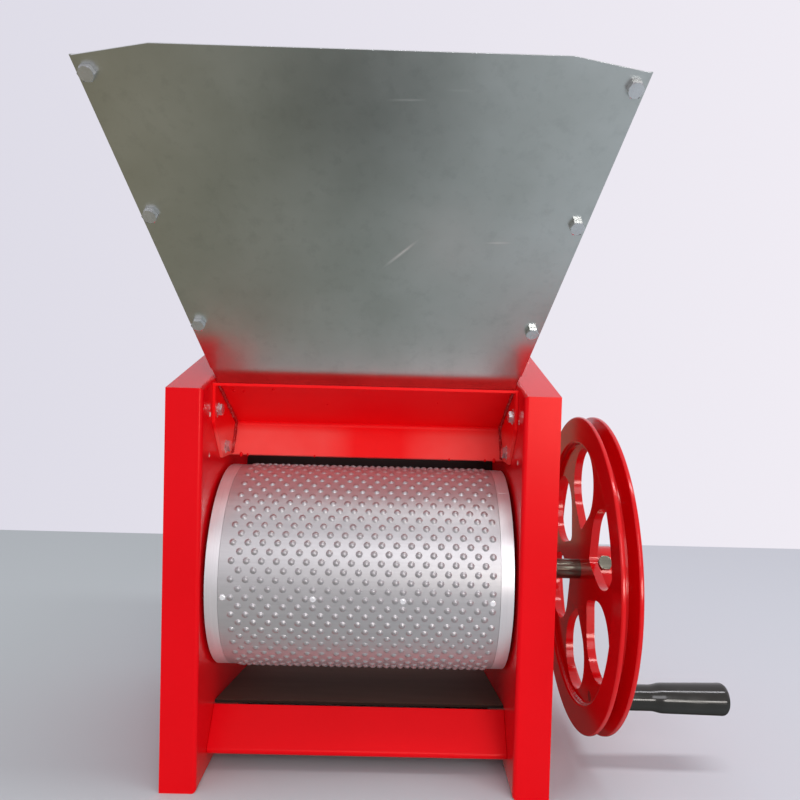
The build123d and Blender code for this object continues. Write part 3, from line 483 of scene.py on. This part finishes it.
def cad_shape(node):
    """A merged copy of a CAD node's mesh, with its flat stretches joined to single faces."""
    shape = bmesh.new()
    shape.from_mesh(frame["nodes"][node].data)
    bmesh.ops.remove_doubles(shape, verts=shape.verts, dist=0.003 * MM)
    bmesh.ops.dissolve_limit(shape, angle_limit=radians(0.6), verts=shape.verts, edges=shape.edges)
    return shape


def corners_in(geometry):
    """The points among what a bmesh operator gives back."""
    return [item for item in geometry if isinstance(item, bmesh.types.BMVert)]


def edges_among(edges, corners):
    """The edges with both ends among some points."""
    ends = set(corners)
    return [edge for edge in edges if all(corner in ends for corner in edge.verts)]


def rounded_node(node, width, segments=2, material=None):
    """A CAD node with its edges rounded, inner corners too, in the finish of its slot or a closer one."""
    shape = cad_shape(node)
    sharp = radians(28)
    edges = [edge for edge in shape.edges if len(edge.link_faces) == 2 and edge.calc_face_angle() > sharp]
    bmesh.ops.bevel(
        shape, geom=edges, offset=width * MM, offset_type="OFFSET", segments=segments, profile=0.5,
        affect="EDGES", clamp_overlap=True, material=-1,
    )
    finish_piece(shape, node + "_shape", body_of_node[node], slot_of_node[node], [node], material=material)


# Every CAD node starts in the finish of its slot
for node, shown in frame["nodes"].items():
    shown.data.materials.clear()
    shown.data.materials.append(finishes[slot_of_node[node]])

# Edge rounding in millimetres, and steps, for the nodes whose shape is kept
edge_rounding = {
    "left_side_frame": (0.5, 2), "right_side_frame": (0.5, 2),
    "front_ramp": (0.5, 2), "rear_crossbar": (0.6, 2),
    "hopper_front_panel": (0.15, 2), "hopper_rear_panel": (0.15, 2),
    "hopper_left_panel": (0.15, 2), "hopper_right_panel": (0.15, 2),
    "left_bearing_housing": (1.2, 3), "right_bearing_housing": (1.2, 3),
    "left_collar": (0.6, 2), "right_collar": (0.6, 2), "flywheel": (0.8, 3),
    "drum_left_end": (0.6, 2), "drum_right_end": (0.6, 2), "breast_plate": (0.8, 2),
    "drum_shaft": (0.3, 2), "crank_grip": (0.4, 2), "grip_cap": (0.5, 2),
}
for node, (width, steps) in edge_rounding.items():
    rounded_node(node, width, steps)
rounded_node("seam_rivets", 0.4, 3, material=white_glint_rivet)
rounded_node("front_guard", 0.5, material=hazy_enamel)
rounded_node("rear_guard", 0.5, material=throat_shade_enamel())
rounded_node("rear_chute", 0.4, material=rolled_sheet())


# Drum sheet pressed with bubbles

# Sizes in millimetres. The rivets stand between the bubbles of one row, a whole number of pitches apart.
drum_radius = 75
sheet_thickness = 1.5
bubble_foot_radius = 2.5
bubble_height = 1.2
bubble_rows = 76
row_bubbles = 18
rivet_pitch = 61
bubbles_between_rivets = 6
seam_angle = radians(184.5)

# The same in metres: a cell's length and width, a row's first bubble, and what counts as touching
bubble_pitch = rivet_pitch / bubbles_between_rivets * MM
row_width = 2 * pi * drum_radius / bubble_rows * MM
first_bubble = -87.42 * MM
touching = 0.01 * MM


def bubble_cell():
    """One bubble in its flat cell: an outline of twelve points, drawn in to a round foot and domed."""
    shape = bmesh.new()
    along = [-bubble_pitch / 2 + bubble_pitch * step / 4 for step in range(5)]
    outline = [(x, -row_width / 2) for x in along] + [(bubble_pitch / 2, 0)]
    outline += [(x, row_width / 2) for x in reversed(along)] + [(-bubble_pitch / 2, 0)]
    cell = shape.faces.new([shape.verts.new((x, y, 0)) for x, y in outline])
    turn = 2 * pi / len(outline)
    # Rings of the dome: share of the foot's radius and of the height
    for share, rise in ((1.0, 0.0), (0.82, 0.33), (0.50, 0.80), (0.28, 0.96)):
        # The inset makes a ring of points, which then go to their places
        bmesh.ops.inset_individual(shape, faces=[cell], thickness=0.05 * MM)
        radius = bubble_foot_radius * share * MM
        for index, corner in enumerate(cell.verts):
            angle = pi + turn * (index + 1)
            corner.co = (radius * cos(angle), radius * sin(angle), bubble_height * rise * MM)
    apex = bmesh.ops.poke(shape, faces=[cell])["verts"][0]
    apex.co = (0, 0, bubble_height * MM)
    return shape


def two_flat_rows():
    """Two neighbouring rows of bubbles, laid flat, the second half a pitch along."""
    shape = bubble_cell()
    bmesh.ops.translate(shape, verts=shape.verts, vec=(first_bubble, 0, 0))
    bmesh.ops.spin(
        shape, geom=shape.faces[:], cent=(0, 0, 0), axis=(1, 0, 0), dvec=(bubble_pitch, 0, 0), angle=0,
        steps=row_bubbles - 1, use_duplicate=True,
    )
    copied = bmesh.ops.duplicate(shape, geom=shape.verts[:] + shape.edges[:] + shape.faces[:])["geom"]
    bmesh.ops.translate(shape, verts=corners_in(copied), vec=(bubble_pitch / 2, row_width, 0))
    bmesh.ops.remove_doubles(shape, verts=shape.verts, dist=touching)
    return shape


def add_margins(shape, sheet_ends):
    """The plain margins of both rows, in steps that meet the points of the neighbouring row."""
    step = bubble_pitch / 4
    for row_index in (0, 1):
        row_start = first_bubble + (row_index - 1) * bubble_pitch / 2
        for row_end, sheet_end in zip((row_start, row_start + row_bubbles * bubble_pitch), sheet_ends):
            edges = []
            for edge in shape.edges:
                start, end = (corner.co for corner in edge.verts)
                at_end = max(abs(start.x - row_end), abs(end.x - row_end)) < touching
                in_row = abs((start.y + end.y) / 2 - row_index * row_width) < row_width / 2
                if edge.is_boundary and at_end and in_row:
                    edges.append(edge)
            while abs(row_end - sheet_end) > touching:
                row_end += max(-step, min(step, sheet_end - row_end))
                made = bmesh.ops.extrude_edge_only(shape, edges=edges)["geom"]
                corners = corners_in(made)
                for corner in corners:
                    corner.co.x = row_end
                edges = edges_among((item for item in made if isinstance(item, bmesh.types.BMEdge)), corners)
    bmesh.ops.remove_doubles(shape, verts=shape.verts, dist=touching)


def roll_round_shaft(shape):
    """Bend the two rows round the shaft, and repeat them for all the rows. How far a point rises is kept."""
    raised = shape.verts.layers.float.new("rise")
    for corner in shape.verts:
        x, arc, rise = corner.co
        corner[raised] = rise / (bubble_height * MM)
        angle = seam_angle + arc / (drum_radius * MM)
        reach = drum_radius * MM + rise
        corner.co = (x, shaft_line.y + reach * cos(angle), shaft_line.z + reach * sin(angle))
    pairs = bubble_rows // 2
    bmesh.ops.spin(
        shape, geom=shape.faces[:], cent=shaft_line, axis=(1, 0, 0), angle=2 * pi * (pairs - 1) / pairs,
        steps=pairs - 1, use_duplicate=True,
    )
    bmesh.ops.remove_doubles(shape, verts=shape.verts, dist=2 * touching)
    bmesh.ops.recalc_face_normals(shape, faces=shape.faces)


def bubble_sheet():
    """The rolled sheet: rows of bubbles, every second row half a pitch along, with turned-in ends."""
    low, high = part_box("bubble_sheet")
    shape = two_flat_rows()
    add_margins(shape, (low.x, high.x))
    roll_round_shaft(shape)
    rims = [edge for edge in shape.edges if edge.is_boundary]
    for corner in corners_in(bmesh.ops.extrude_edge_only(shape, edges=rims)["geom"]):
        spoke = Vector((0, corner.co.y - shaft_line.y, corner.co.z - shaft_line.z))
        corner.co -= spoke.normalized() * sheet_thickness * MM
    finish_piece(shape, "bubble_sheet_shape", "rotor", "stainless_sheet", ["bubble_sheet"], sharp_angle=40)


bubble_sheet()


# Fasteners

# Radii as shares of the shank's: a thread's root, the bevel of its end and the end's face
thread_root, end_bevel, end_face = 0.86, 0.92, 0.80
# The round face inside a hexagon's chamfer, as a share of the flats, and the slope of that chamfer
chamfer_circle, chamfer_slope = 0.94, tan(radians(30))
# Heights as shares of a head or nut: from its seat up to the hexagon, and from its chamfer up to its face
head_seat, head_crown, nut_crown = 0.06, 0.02, 0.05


def hexagon_reach(half_flats, angle):
    """How far the outline of a hexagon reaches at an angle from the middle of a flat."""
    return half_flats / cos((angle + pi / 6) % (pi / 3) - pi / 6)


def turned(rings, segments=24):
    """A closed form from rings, each a size and a height in millimetres.

    A third value makes a ring a hexagon, and says how steeply its corners drop.
    """
    shape = bmesh.new()
    ring = bmesh.ops.create_circle(shape, cap_ends=True, segments=segments, radius=1.0)["verts"]
    for step, (size, height, *slope) in enumerate(rings):
        if step:
            edges = edges_among(shape.edges, ring)
            ring = corners_in(bmesh.ops.extrude_edge_only(shape, edges=edges)["geom"])
        for corner in ring:
            angle = corner.co.to_2d().angle_signed(Vector((1, 0)), 0.0)
            reach, drop = size, 0
            if slope:
                reach = hexagon_reach(size, angle)
                drop = (reach - size) * slope[0]
            corner.co = Vector((reach * cos(angle), reach * sin(angle), height - drop)) * MM
    bmesh.ops.contextual_create(shape, geom=edges_among(shape.edges, ring))
    return shape


def islands(shape):
    """The points of each separate solid in a mesh."""
    waiting = set(shape.verts)
    while waiting:
        island, border = [], [waiting.pop()]
        while border:
            corner = border.pop()
            island.append(corner)
            near = {edge.other_vert(corner) for edge in corner.link_edges} & waiting
            waiting -= near
            border += near
        yield island


def fastener_places(node):
    """The middle, axis, one flat and reach of every hexagon of a CAD node, its axis from shank to head."""
    shape = cad_shape(node)
    places = []
    for island in islands(shape):
        faces = {face for corner in island for face in corner.link_faces if len(face.verts) == 4}
        flats = sorted(faces, key=lambda face: face.calc_area())[-6:]
        centre = sum((face.calc_center_median() for face in flats), Vector()) / len(flats)
        side = flats[0].normal.copy()
        other = max(flats, key=lambda face: face.normal.cross(side).length)
        axis = side.cross(other.normal).normalized()
        heights = [(corner.co - centre).dot(axis) for corner in island]
        if abs(min(heights)) < abs(max(heights)):
            axis.negate()
        places.append((centre, axis, side, max(abs(height) for height in heights)))
    shape.free()
    return places


def place_fasteners(node, make, material=None):
    """Detailed fasteners in the places of a node's plain ones."""
    whole = bmesh.new()
    for centre, axis, side, reach in fastener_places(node):
        single = make(reach / MM)
        turn = Matrix((side, axis.cross(side), axis)).transposed().to_4x4()
        bmesh.ops.transform(single, matrix=Matrix.Translation(centre) @ turn, verts=single.verts)
        mesh = bpy.data.meshes.new("fastener")
        single.to_mesh(mesh)
        single.free()
        whole.from_mesh(mesh)
        bpy.data.meshes.remove(mesh)
    bmesh.ops.recalc_face_normals(whole, faces=whole.faces)
    finish_piece(
        whole, node + "_shape", body_of_node[node], slot_of_node[node], [node], sharp_angle=24,
        material=material,
    )


def hex_bolt(flats, head, shank, thread_pitch, reach):
    """A hexagon bolt about the middle of its head: chamfered head, ridged thread and bevelled end."""
    half_flats, radius, top = flats / 2, shank / 2, head / 2
    rings = [(radius * end_face, -reach), (radius * end_bevel, -reach + thread_pitch / 2)]
    for turn in range(1, int((reach - top) / thread_pitch)):
        crest = -reach + thread_pitch * turn
        rings += [(radius, crest), (radius * thread_root, crest + thread_pitch / 2)]
    face = half_flats * chamfer_circle
    rings += [(radius, -top), (face, -top), (half_flats, -top + head * head_seat, 0.0)]
    rings += [(half_flats, top - head * head_crown, chamfer_slope), (face, top)]
    return turned(rings)


def hex_nut(flats, height, bore):
    """A hexagon nut about the origin, chamfered on both sides."""
    half_flats, top = flats / 2, height / 2
    face, edge = half_flats * chamfer_circle, top - height * nut_crown
    rings = [(bore / 2, -top), (face, -top), (half_flats, -edge, -chamfer_slope)]
    rings += [(half_flats, edge, chamfer_slope), (face, top), (bore / 2, top)]
    return turned(rings)


# Flats, head, shank and pitch of the bolts, and flats, height and bore of the nuts, in millimetres
bolts = {
    "hopper_bolts": (8, 3.5, 5, 0.8), "guard_bolts": (8, 3.5, 5, 0.8), "hopper_tab_bolts": (10, 4, 6, 1.0),
    "bearing_bolts": (13, 5.3, 8, 1.25),
    "left_adjusting_screw": (16, 6.4, 10, 1.5), "right_adjusting_screw": (16, 6.4, 10, 1.5),
}
nuts = {
    "hopper_nuts": (8, 4, 5.6), "guard_nuts": (8, 4, 5.6), "hopper_tab_nuts": (10, 5, 6.6),
    "bearing_nuts": (13, 6.5, 8.6), "left_stop_nut": (16, 8, 10.6), "right_stop_nut": (16, 8, 10.6),
}
hub_screw = (10, 4, 6, 1.0)
for node, sizes in bolts.items():
    place_fasteners(node, lambda reach: hex_bolt(*sizes, reach))
for node, sizes in nuts.items():
    place_fasteners(node, lambda reach: hex_nut(*sizes))
# The screw in the hub has the darker oiled steel finish
place_fasteners("wheel_screw", lambda reach: hex_bolt(*hub_screw, reach), finishes["dark_steel"])


# Welds and paint marks

# How far the ripples of a weld lie off its line is random, so it is seeded and each run gives the same
noise.seed_set(1)

# How a bead or a fleck lies: along the shaft, or upright
level = Vector((1, 0, 0)).to_track_quat("X", "Z")
upright = Vector((0, 0, 1)).to_track_quat("X", "Y")


def ripple(shape, place, size, stretch, turn):
    """One ripple of a weld or drop of paint: a small ball, its radius in millimetres, drawn out one way."""
    scale = Matrix.Diagonal((size * stretch * MM, size * MM, size * MM, 1))
    matrix = Matrix.Translation(place) @ turn.to_matrix().to_4x4() @ scale
    bmesh.ops.create_icosphere(shape, subdivisions=2, radius=1.0, matrix=matrix)


def weld_bead(shape, points, size):
    """Overlapping ripples along a line, each a little off its place and size."""
    spacing, wander, growth, stretch = 1.7, 0.35, 0.4, 0.8
    for start, end in zip(points, points[1:]):
        along = end - start
        turn = along.to_track_quat("X", "Z")
        count = max(1, round(along.length / (spacing * MM)))
        for index in range(count):
            place = start + along * (index / count)
            off = noise.noise_vector(place * per_mm(4)) * wander * MM
            grown = size * (1 + growth * noise.noise(place * per_mm(7)))
            ripple(shape, place + off, grown, stretch, turn)


def guard_welds():
    """A bead down each end of the front guard, in the corner of its plate and ear."""
    bead, inset = 1.5, 0.5
    weld_x = ear_face - inset
    shape = bmesh.new()
    for side in (-1, 1):
        line = [Vector((side * weld_x, y, z)) * MM for y, z in (guard_lip, guard_bend, guard_heel)]
        weld_bead(shape, line, bead)
    finish_piece(shape, "guard_welds", "frame", "red_enamel", sharp_angle=60, material=weld_paint())


def bolt_chips():
    """Paint broken away round the guard's bolts: pale, ragged flecks on the ears and the side frames."""
    flecks, turn_between = 9, 2.4
    ring_radius, ring_spread = 4.6, 2.2
    fleck_size, fleck_spread, fleck_stretch = 0.55, 0.35, 1.6
    # The run of bare metal on the frame: how far forward it is, how far below each bolt, and its form
    run_y, run_drop, run_size, run_stretch = -86, 3, 0.6, 3.2
    shape = bmesh.new()
    for side in (-1, 1):
        for y, z in guard_bolt_places:
            for index in range(flecks):
                angle = index * turn_between + side + z
                reach = ring_radius + ring_spread * noise.noise((index, side, z))
                place = Vector((side * ear_face, y + reach * cos(angle), z + reach * sin(angle)))
                size = fleck_size + fleck_spread * noise.noise((z, index, side))
                ripple(shape, place * MM, size, fleck_stretch, upright)
            run = Vector((side * frame_face, run_y, z - run_drop)) * MM
            ripple(shape, run, run_size, run_stretch, upright)
    finish_piece(shape, "bolt_chips", "frame", "zinc_plate", sharp_angle=60, material=chipped_paint())


def paint_marks():
    """Drops of paint along the guard's lower edge, and grit under the paint of its upper face."""
    shape = bmesh.new()
    # Drops: place across and size
    drop_line, drop_stretch = (-26.6, 223.0), 1.5
    for x, size in ((-98, 1.3), (-93, 0.8), (-41, 0.7), (64, 0.7), (92, 0.8), (99, 1.3)):
        ripple(shape, Vector((x, *drop_line)) * MM, size, drop_stretch, upright)
    # Grit: place across, share of the way down the face, and size
    grit_stretch = 1.2
    grit = [(-96, 0.1, 0.9), (-89, 0.12, 0.7), (-67, 0.05, 0.8), (-30, 0.42, 0.5), (52, 0.3, 0.5)]
    for x, share, size in grit:
        place = Vector((x, *guard_lip)).lerp(Vector((x, *guard_bend)), share) * MM
        ripple(shape, place, size, grit_stretch, level)
    finish_piece(shape, "paint_marks", "frame", "red_enamel", sharp_angle=60)


def band_joint():
    """The butt joint of the right-hand band: one low bead across it, sunk a little into its face."""
    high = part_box("drum_right_end")[1]
    joint_angle, band_width = radians(121.5), 9
    bead, stretch, sunk = 0.35, 12.4, 0.1
    spoke = Vector((0, cos(joint_angle), sin(joint_angle))) * (high.z - shaft_line.z - sunk * MM)
    middle = Vector((high.x - band_width / 2 * MM, shaft_line.y, shaft_line.z))
    shape = bmesh.new()
    ripple(shape, middle + spoke, bead, stretch, level)
    finish_piece(shape, "right_band_joint", "rotor", "turned_aluminium", sharp_angle=60)


guard_welds()
bolt_chips()
paint_marks()
band_joint()


# Stage, light and camera


def pale_laminate():
    """The table's laminate: dull and pale, paler and cooler to the right as painted light. Metal sees a painted
    reflection in softly graded tones.
    """
    material, tree, shader, place = start_material("pale_laminate", {"Roughness": 0.85})
    axes = add_node(tree, "SeparateXYZ", {"Vector": place})
    # Paler and cooler to the right: painted light from the lamps on that side
    side = add_node(
        tree, "MapRange", {"Value": axes.outputs["X"], "From Min": -350 * MM, "From Max": 300 * MM}
    )
    laminate = add_node(
        tree, "Mix", {FACTOR: side.outputs["Result"], FIRST: linear("#bdc5c4"), SECOND: linear("#d3d7db")},
        data_type="RGBA",
    )
    set_inputs(tree, shader, {"Base Color": laminate.outputs[MIXED]})

    # In mirrors, a painted reflection that glows for glossy rays only: warm on the left to cool on the right
    across = add_node(
        tree, "MapRange", {"Value": axes.outputs["X"], "From Min": -320 * MM, "From Max": 260 * MM}
    )
    warm_to_cool = add_node(tree, "ValToRGB", {"Fac": across.outputs["Result"]})
    stops = warm_to_cool.color_ramp.elements
    stops[0].color = linear("#aaa38c")
    stops[1].color = linear("#ecf4fc")
    stops.new(0.5).color = linear("#a9b1ad")
    # Dark close in front, where little of the room's light falls
    shade_centre, shade_radius = Vector((-20, -430, 0)) * MM, 170 * MM
    shade = add_node(
        tree, "Mapping",
        {"Vector": place, "Location": shade_centre, "Scale": (shade_radius, shade_radius, 1)},
        vector_type="TEXTURE",
    )
    reach = add_node(tree, "VectorMath", {0: shade.outputs["Vector"]}, operation="LENGTH")
    shaded = add_node(
        tree, "MapRange",
        {"Value": reach.outputs["Value"], "From Min": 1.0, "From Max": 0.0, "To Max": 0.95},
        interpolation_type="SMOOTHSTEP",
    )
    near = add_node(
        tree, "Mix",
        {FACTOR: shaded.outputs["Result"], FIRST: warm_to_cool.outputs["Color"], SECOND: linear("#161b1a")},
        data_type="RGBA",
    )
    # Pale further out, and painted shade under the machine
    ahead = add_node(
        tree, "MapRange", {"Value": axes.outputs["Y"], "From Min": -560 * MM, "From Max": -750 * MM},
        interpolation_type="SMOOTHSTEP",
    )
    out = add_node(
        tree, "Mix",
        {FACTOR: ahead.outputs["Result"], FIRST: near.outputs[MIXED], SECOND: linear("#c9c6cb")},
        data_type="RGBA",
    )
    under = add_node(
        tree, "MapRange", {"Value": axes.outputs["Y"], "From Min": -110 * MM, "From Max": -50 * MM}
    )
    mirrored = add_node(
        tree, "Mix", {FACTOR: under.outputs["Result"], FIRST: out.outputs[MIXED], SECOND: linear("#5c5a57")},
        data_type="RGBA",
    )
    # Glossy rays see this painted reflection glowing instead of the laminate
    painted_reflection_glow = add_node(tree, "Emission", {"Color": mirrored.outputs[MIXED], "Strength": 0.58})
    path = add_node(tree, "LightPath")
    shown = add_node(
        tree, "MixShader",
        {0: path.outputs["Is Glossy Ray"], 1: shader.outputs["BSDF"], 2: painted_reflection_glow.outputs["Emission"]},
    )
    set_inputs(tree, tree.nodes["Material Output"], {"Surface": shown.outputs["Shader"]})
    return material


def stage_floor():
    """A table top that ends behind the object."""
    half_width, front, back = 4000, -1500, 690
    shape = bmesh.new()
    corners = [(-half_width, front), (half_width, front), (half_width, back), (-half_width, back)]
    shape.faces.new([shape.verts.new((x * MM, y * MM, 0)) for x, y in corners])
    mesh = bpy.data.meshes.new("table_top")
    shape.to_mesh(mesh)
    shape.free()
    mesh.materials.append(pale_laminate())
    floor = bpy.data.objects.new("table_top", mesh)
    bpy.context.scene.collection.objects.link(floor)
    floor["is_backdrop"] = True


def room_light(lit):
    """A pale room, brighter to the right. It is dimmer where it only lights, and graded in mirrors."""
    world = bpy.data.worlds.new("room")
    bpy.context.scene.world = world
    world.use_nodes = True
    tree = world.node_tree
    path = add_node(tree, "LightPath")
    glossy = path.outputs["Is Glossy Ray"]
    axes = add_node(tree, "SeparateXYZ", {"Vector": add_node(tree, "TexCoord").outputs["Generated"]})
    across = add_node(tree, "MapRange", {"Value": axes.outputs["X"], "From Min": -0.5, "From Max": 0.5})
    tone = add_node(
        tree, "Mix", {FACTOR: across.outputs["Result"], FIRST: linear("#dedce7"), SECOND: linear("#f0ecf4")},
        data_type="RGBA",
    )
    # In mirrors: darker below the table's edge and plain ahead, each with its axis, range and colour
    for axis, start, full, colour in (("Z", 0.05, -0.05, "#857f6e"), ("Y", 0.1, -0.35, "#d0ced3")):
        part = add_node(tree, "MapRange", {"Value": axes.outputs[axis], "From Min": start, "From Max": full})
        mirrored = add_node(tree, "Math", {0: part.outputs["Result"], 1: glossy}, operation="MULTIPLY")
        tone = add_node(
            tree, "Mix",
            {FACTOR: mirrored.outputs["Value"], FIRST: tone.outputs[MIXED], SECOND: linear(colour)},
            data_type="RGBA",
        )
    seen = glossy
    for ray in ("Is Camera Ray", "Is Transmission Ray"):
        seen = add_node(tree, "Math", {0: seen, 1: path.outputs[ray]}, operation="MAXIMUM").outputs["Value"]
    strength = add_node(tree, "MapRange", {"Value": seen, "To Min": lit, "To Max": 1.0})
    set_inputs(
        tree, tree.nodes["Background"],
        {"Color": tone.outputs[MIXED], "Strength": strength.outputs["Result"]},
    )


def soft_lamp(name, place, aim, width, height, power, colour):
    """A soft box: a rectangular lamp, its place, aim and size in millimetres and its power in watts."""
    lamp = bpy.data.lights.new(name, "AREA")
    lamp.shape = "RECTANGLE"
    lamp.size = width * MM
    lamp.size_y = height * MM
    lamp.energy = power
    lamp.color = linear(colour)[:3]
    holder = bpy.data.objects.new(name, lamp)
    bpy.context.scene.collection.objects.link(holder)
    holder.visible_camera = False
    holder.location = Vector(place) * MM
    holder.rotation_euler = (Vector(aim) - Vector(place)).to_track_quat("-Z", "Y").to_euler()


def photo_camera():
    """The camera that the photo's edges give: place, turn, lens and the centre of its view in pixels."""
    photo_size = 800
    focal_length = 713.5
    view_centre = (403, 402)
    place = Vector((21.2, -581.7, 282.9)) * MM
    # In radians
    yaw, pitch_down, roll = 0.0101, 0.0286, -0.0263
    forward = Vector((sin(yaw) * cos(pitch_down), cos(yaw) * cos(pitch_down), -sin(pitch_down)))
    across = Vector((cos(yaw), -sin(yaw), 0))
    down = forward.cross(across)
    right = across * cos(roll) + down * sin(roll)
    up = across * sin(roll) - down * cos(roll)
    data = bpy.data.cameras.new("photo_camera")
    data.sensor_width = 36.0
    data.lens = data.sensor_width * focal_length / photo_size
    data.shift_x = (photo_size / 2 - view_centre[0]) / photo_size
    data.shift_y = (view_centre[1] - photo_size / 2) / photo_size
    data.clip_start = 10 * MM
    camera = bpy.data.objects.new("photo_camera", data)
    bpy.context.scene.collection.objects.link(camera)
    turn = Matrix((right, up, -forward)).transposed().to_4x4()
    camera.matrix_world = Matrix.Translation(place) @ turn
    bpy.context.scene.camera = camera


stage_floor()
room_light(lit=0.76)
soft_lamp("window_right", (1005, -2600, 255), (60, -105, 200), 1100, 430, 17, "#fffaf4")
soft_lamp("sky_window", (250, -2200, 1250), (0, -105, 180), 1200, 900, 12.5, "#fbfaff")
soft_lamp("ceiling_light", (600, -650, 2000), (600, 0, 0), 1600, 200, 15, "#fbfaff")
photo_camera()
bpy.context.scene.view_settings.view_transform = "Standard"

boxes = {"cad": cad_box, "visual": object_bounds()}
{name: [list(corner) for corner in box] for name, box in boxes.items()}
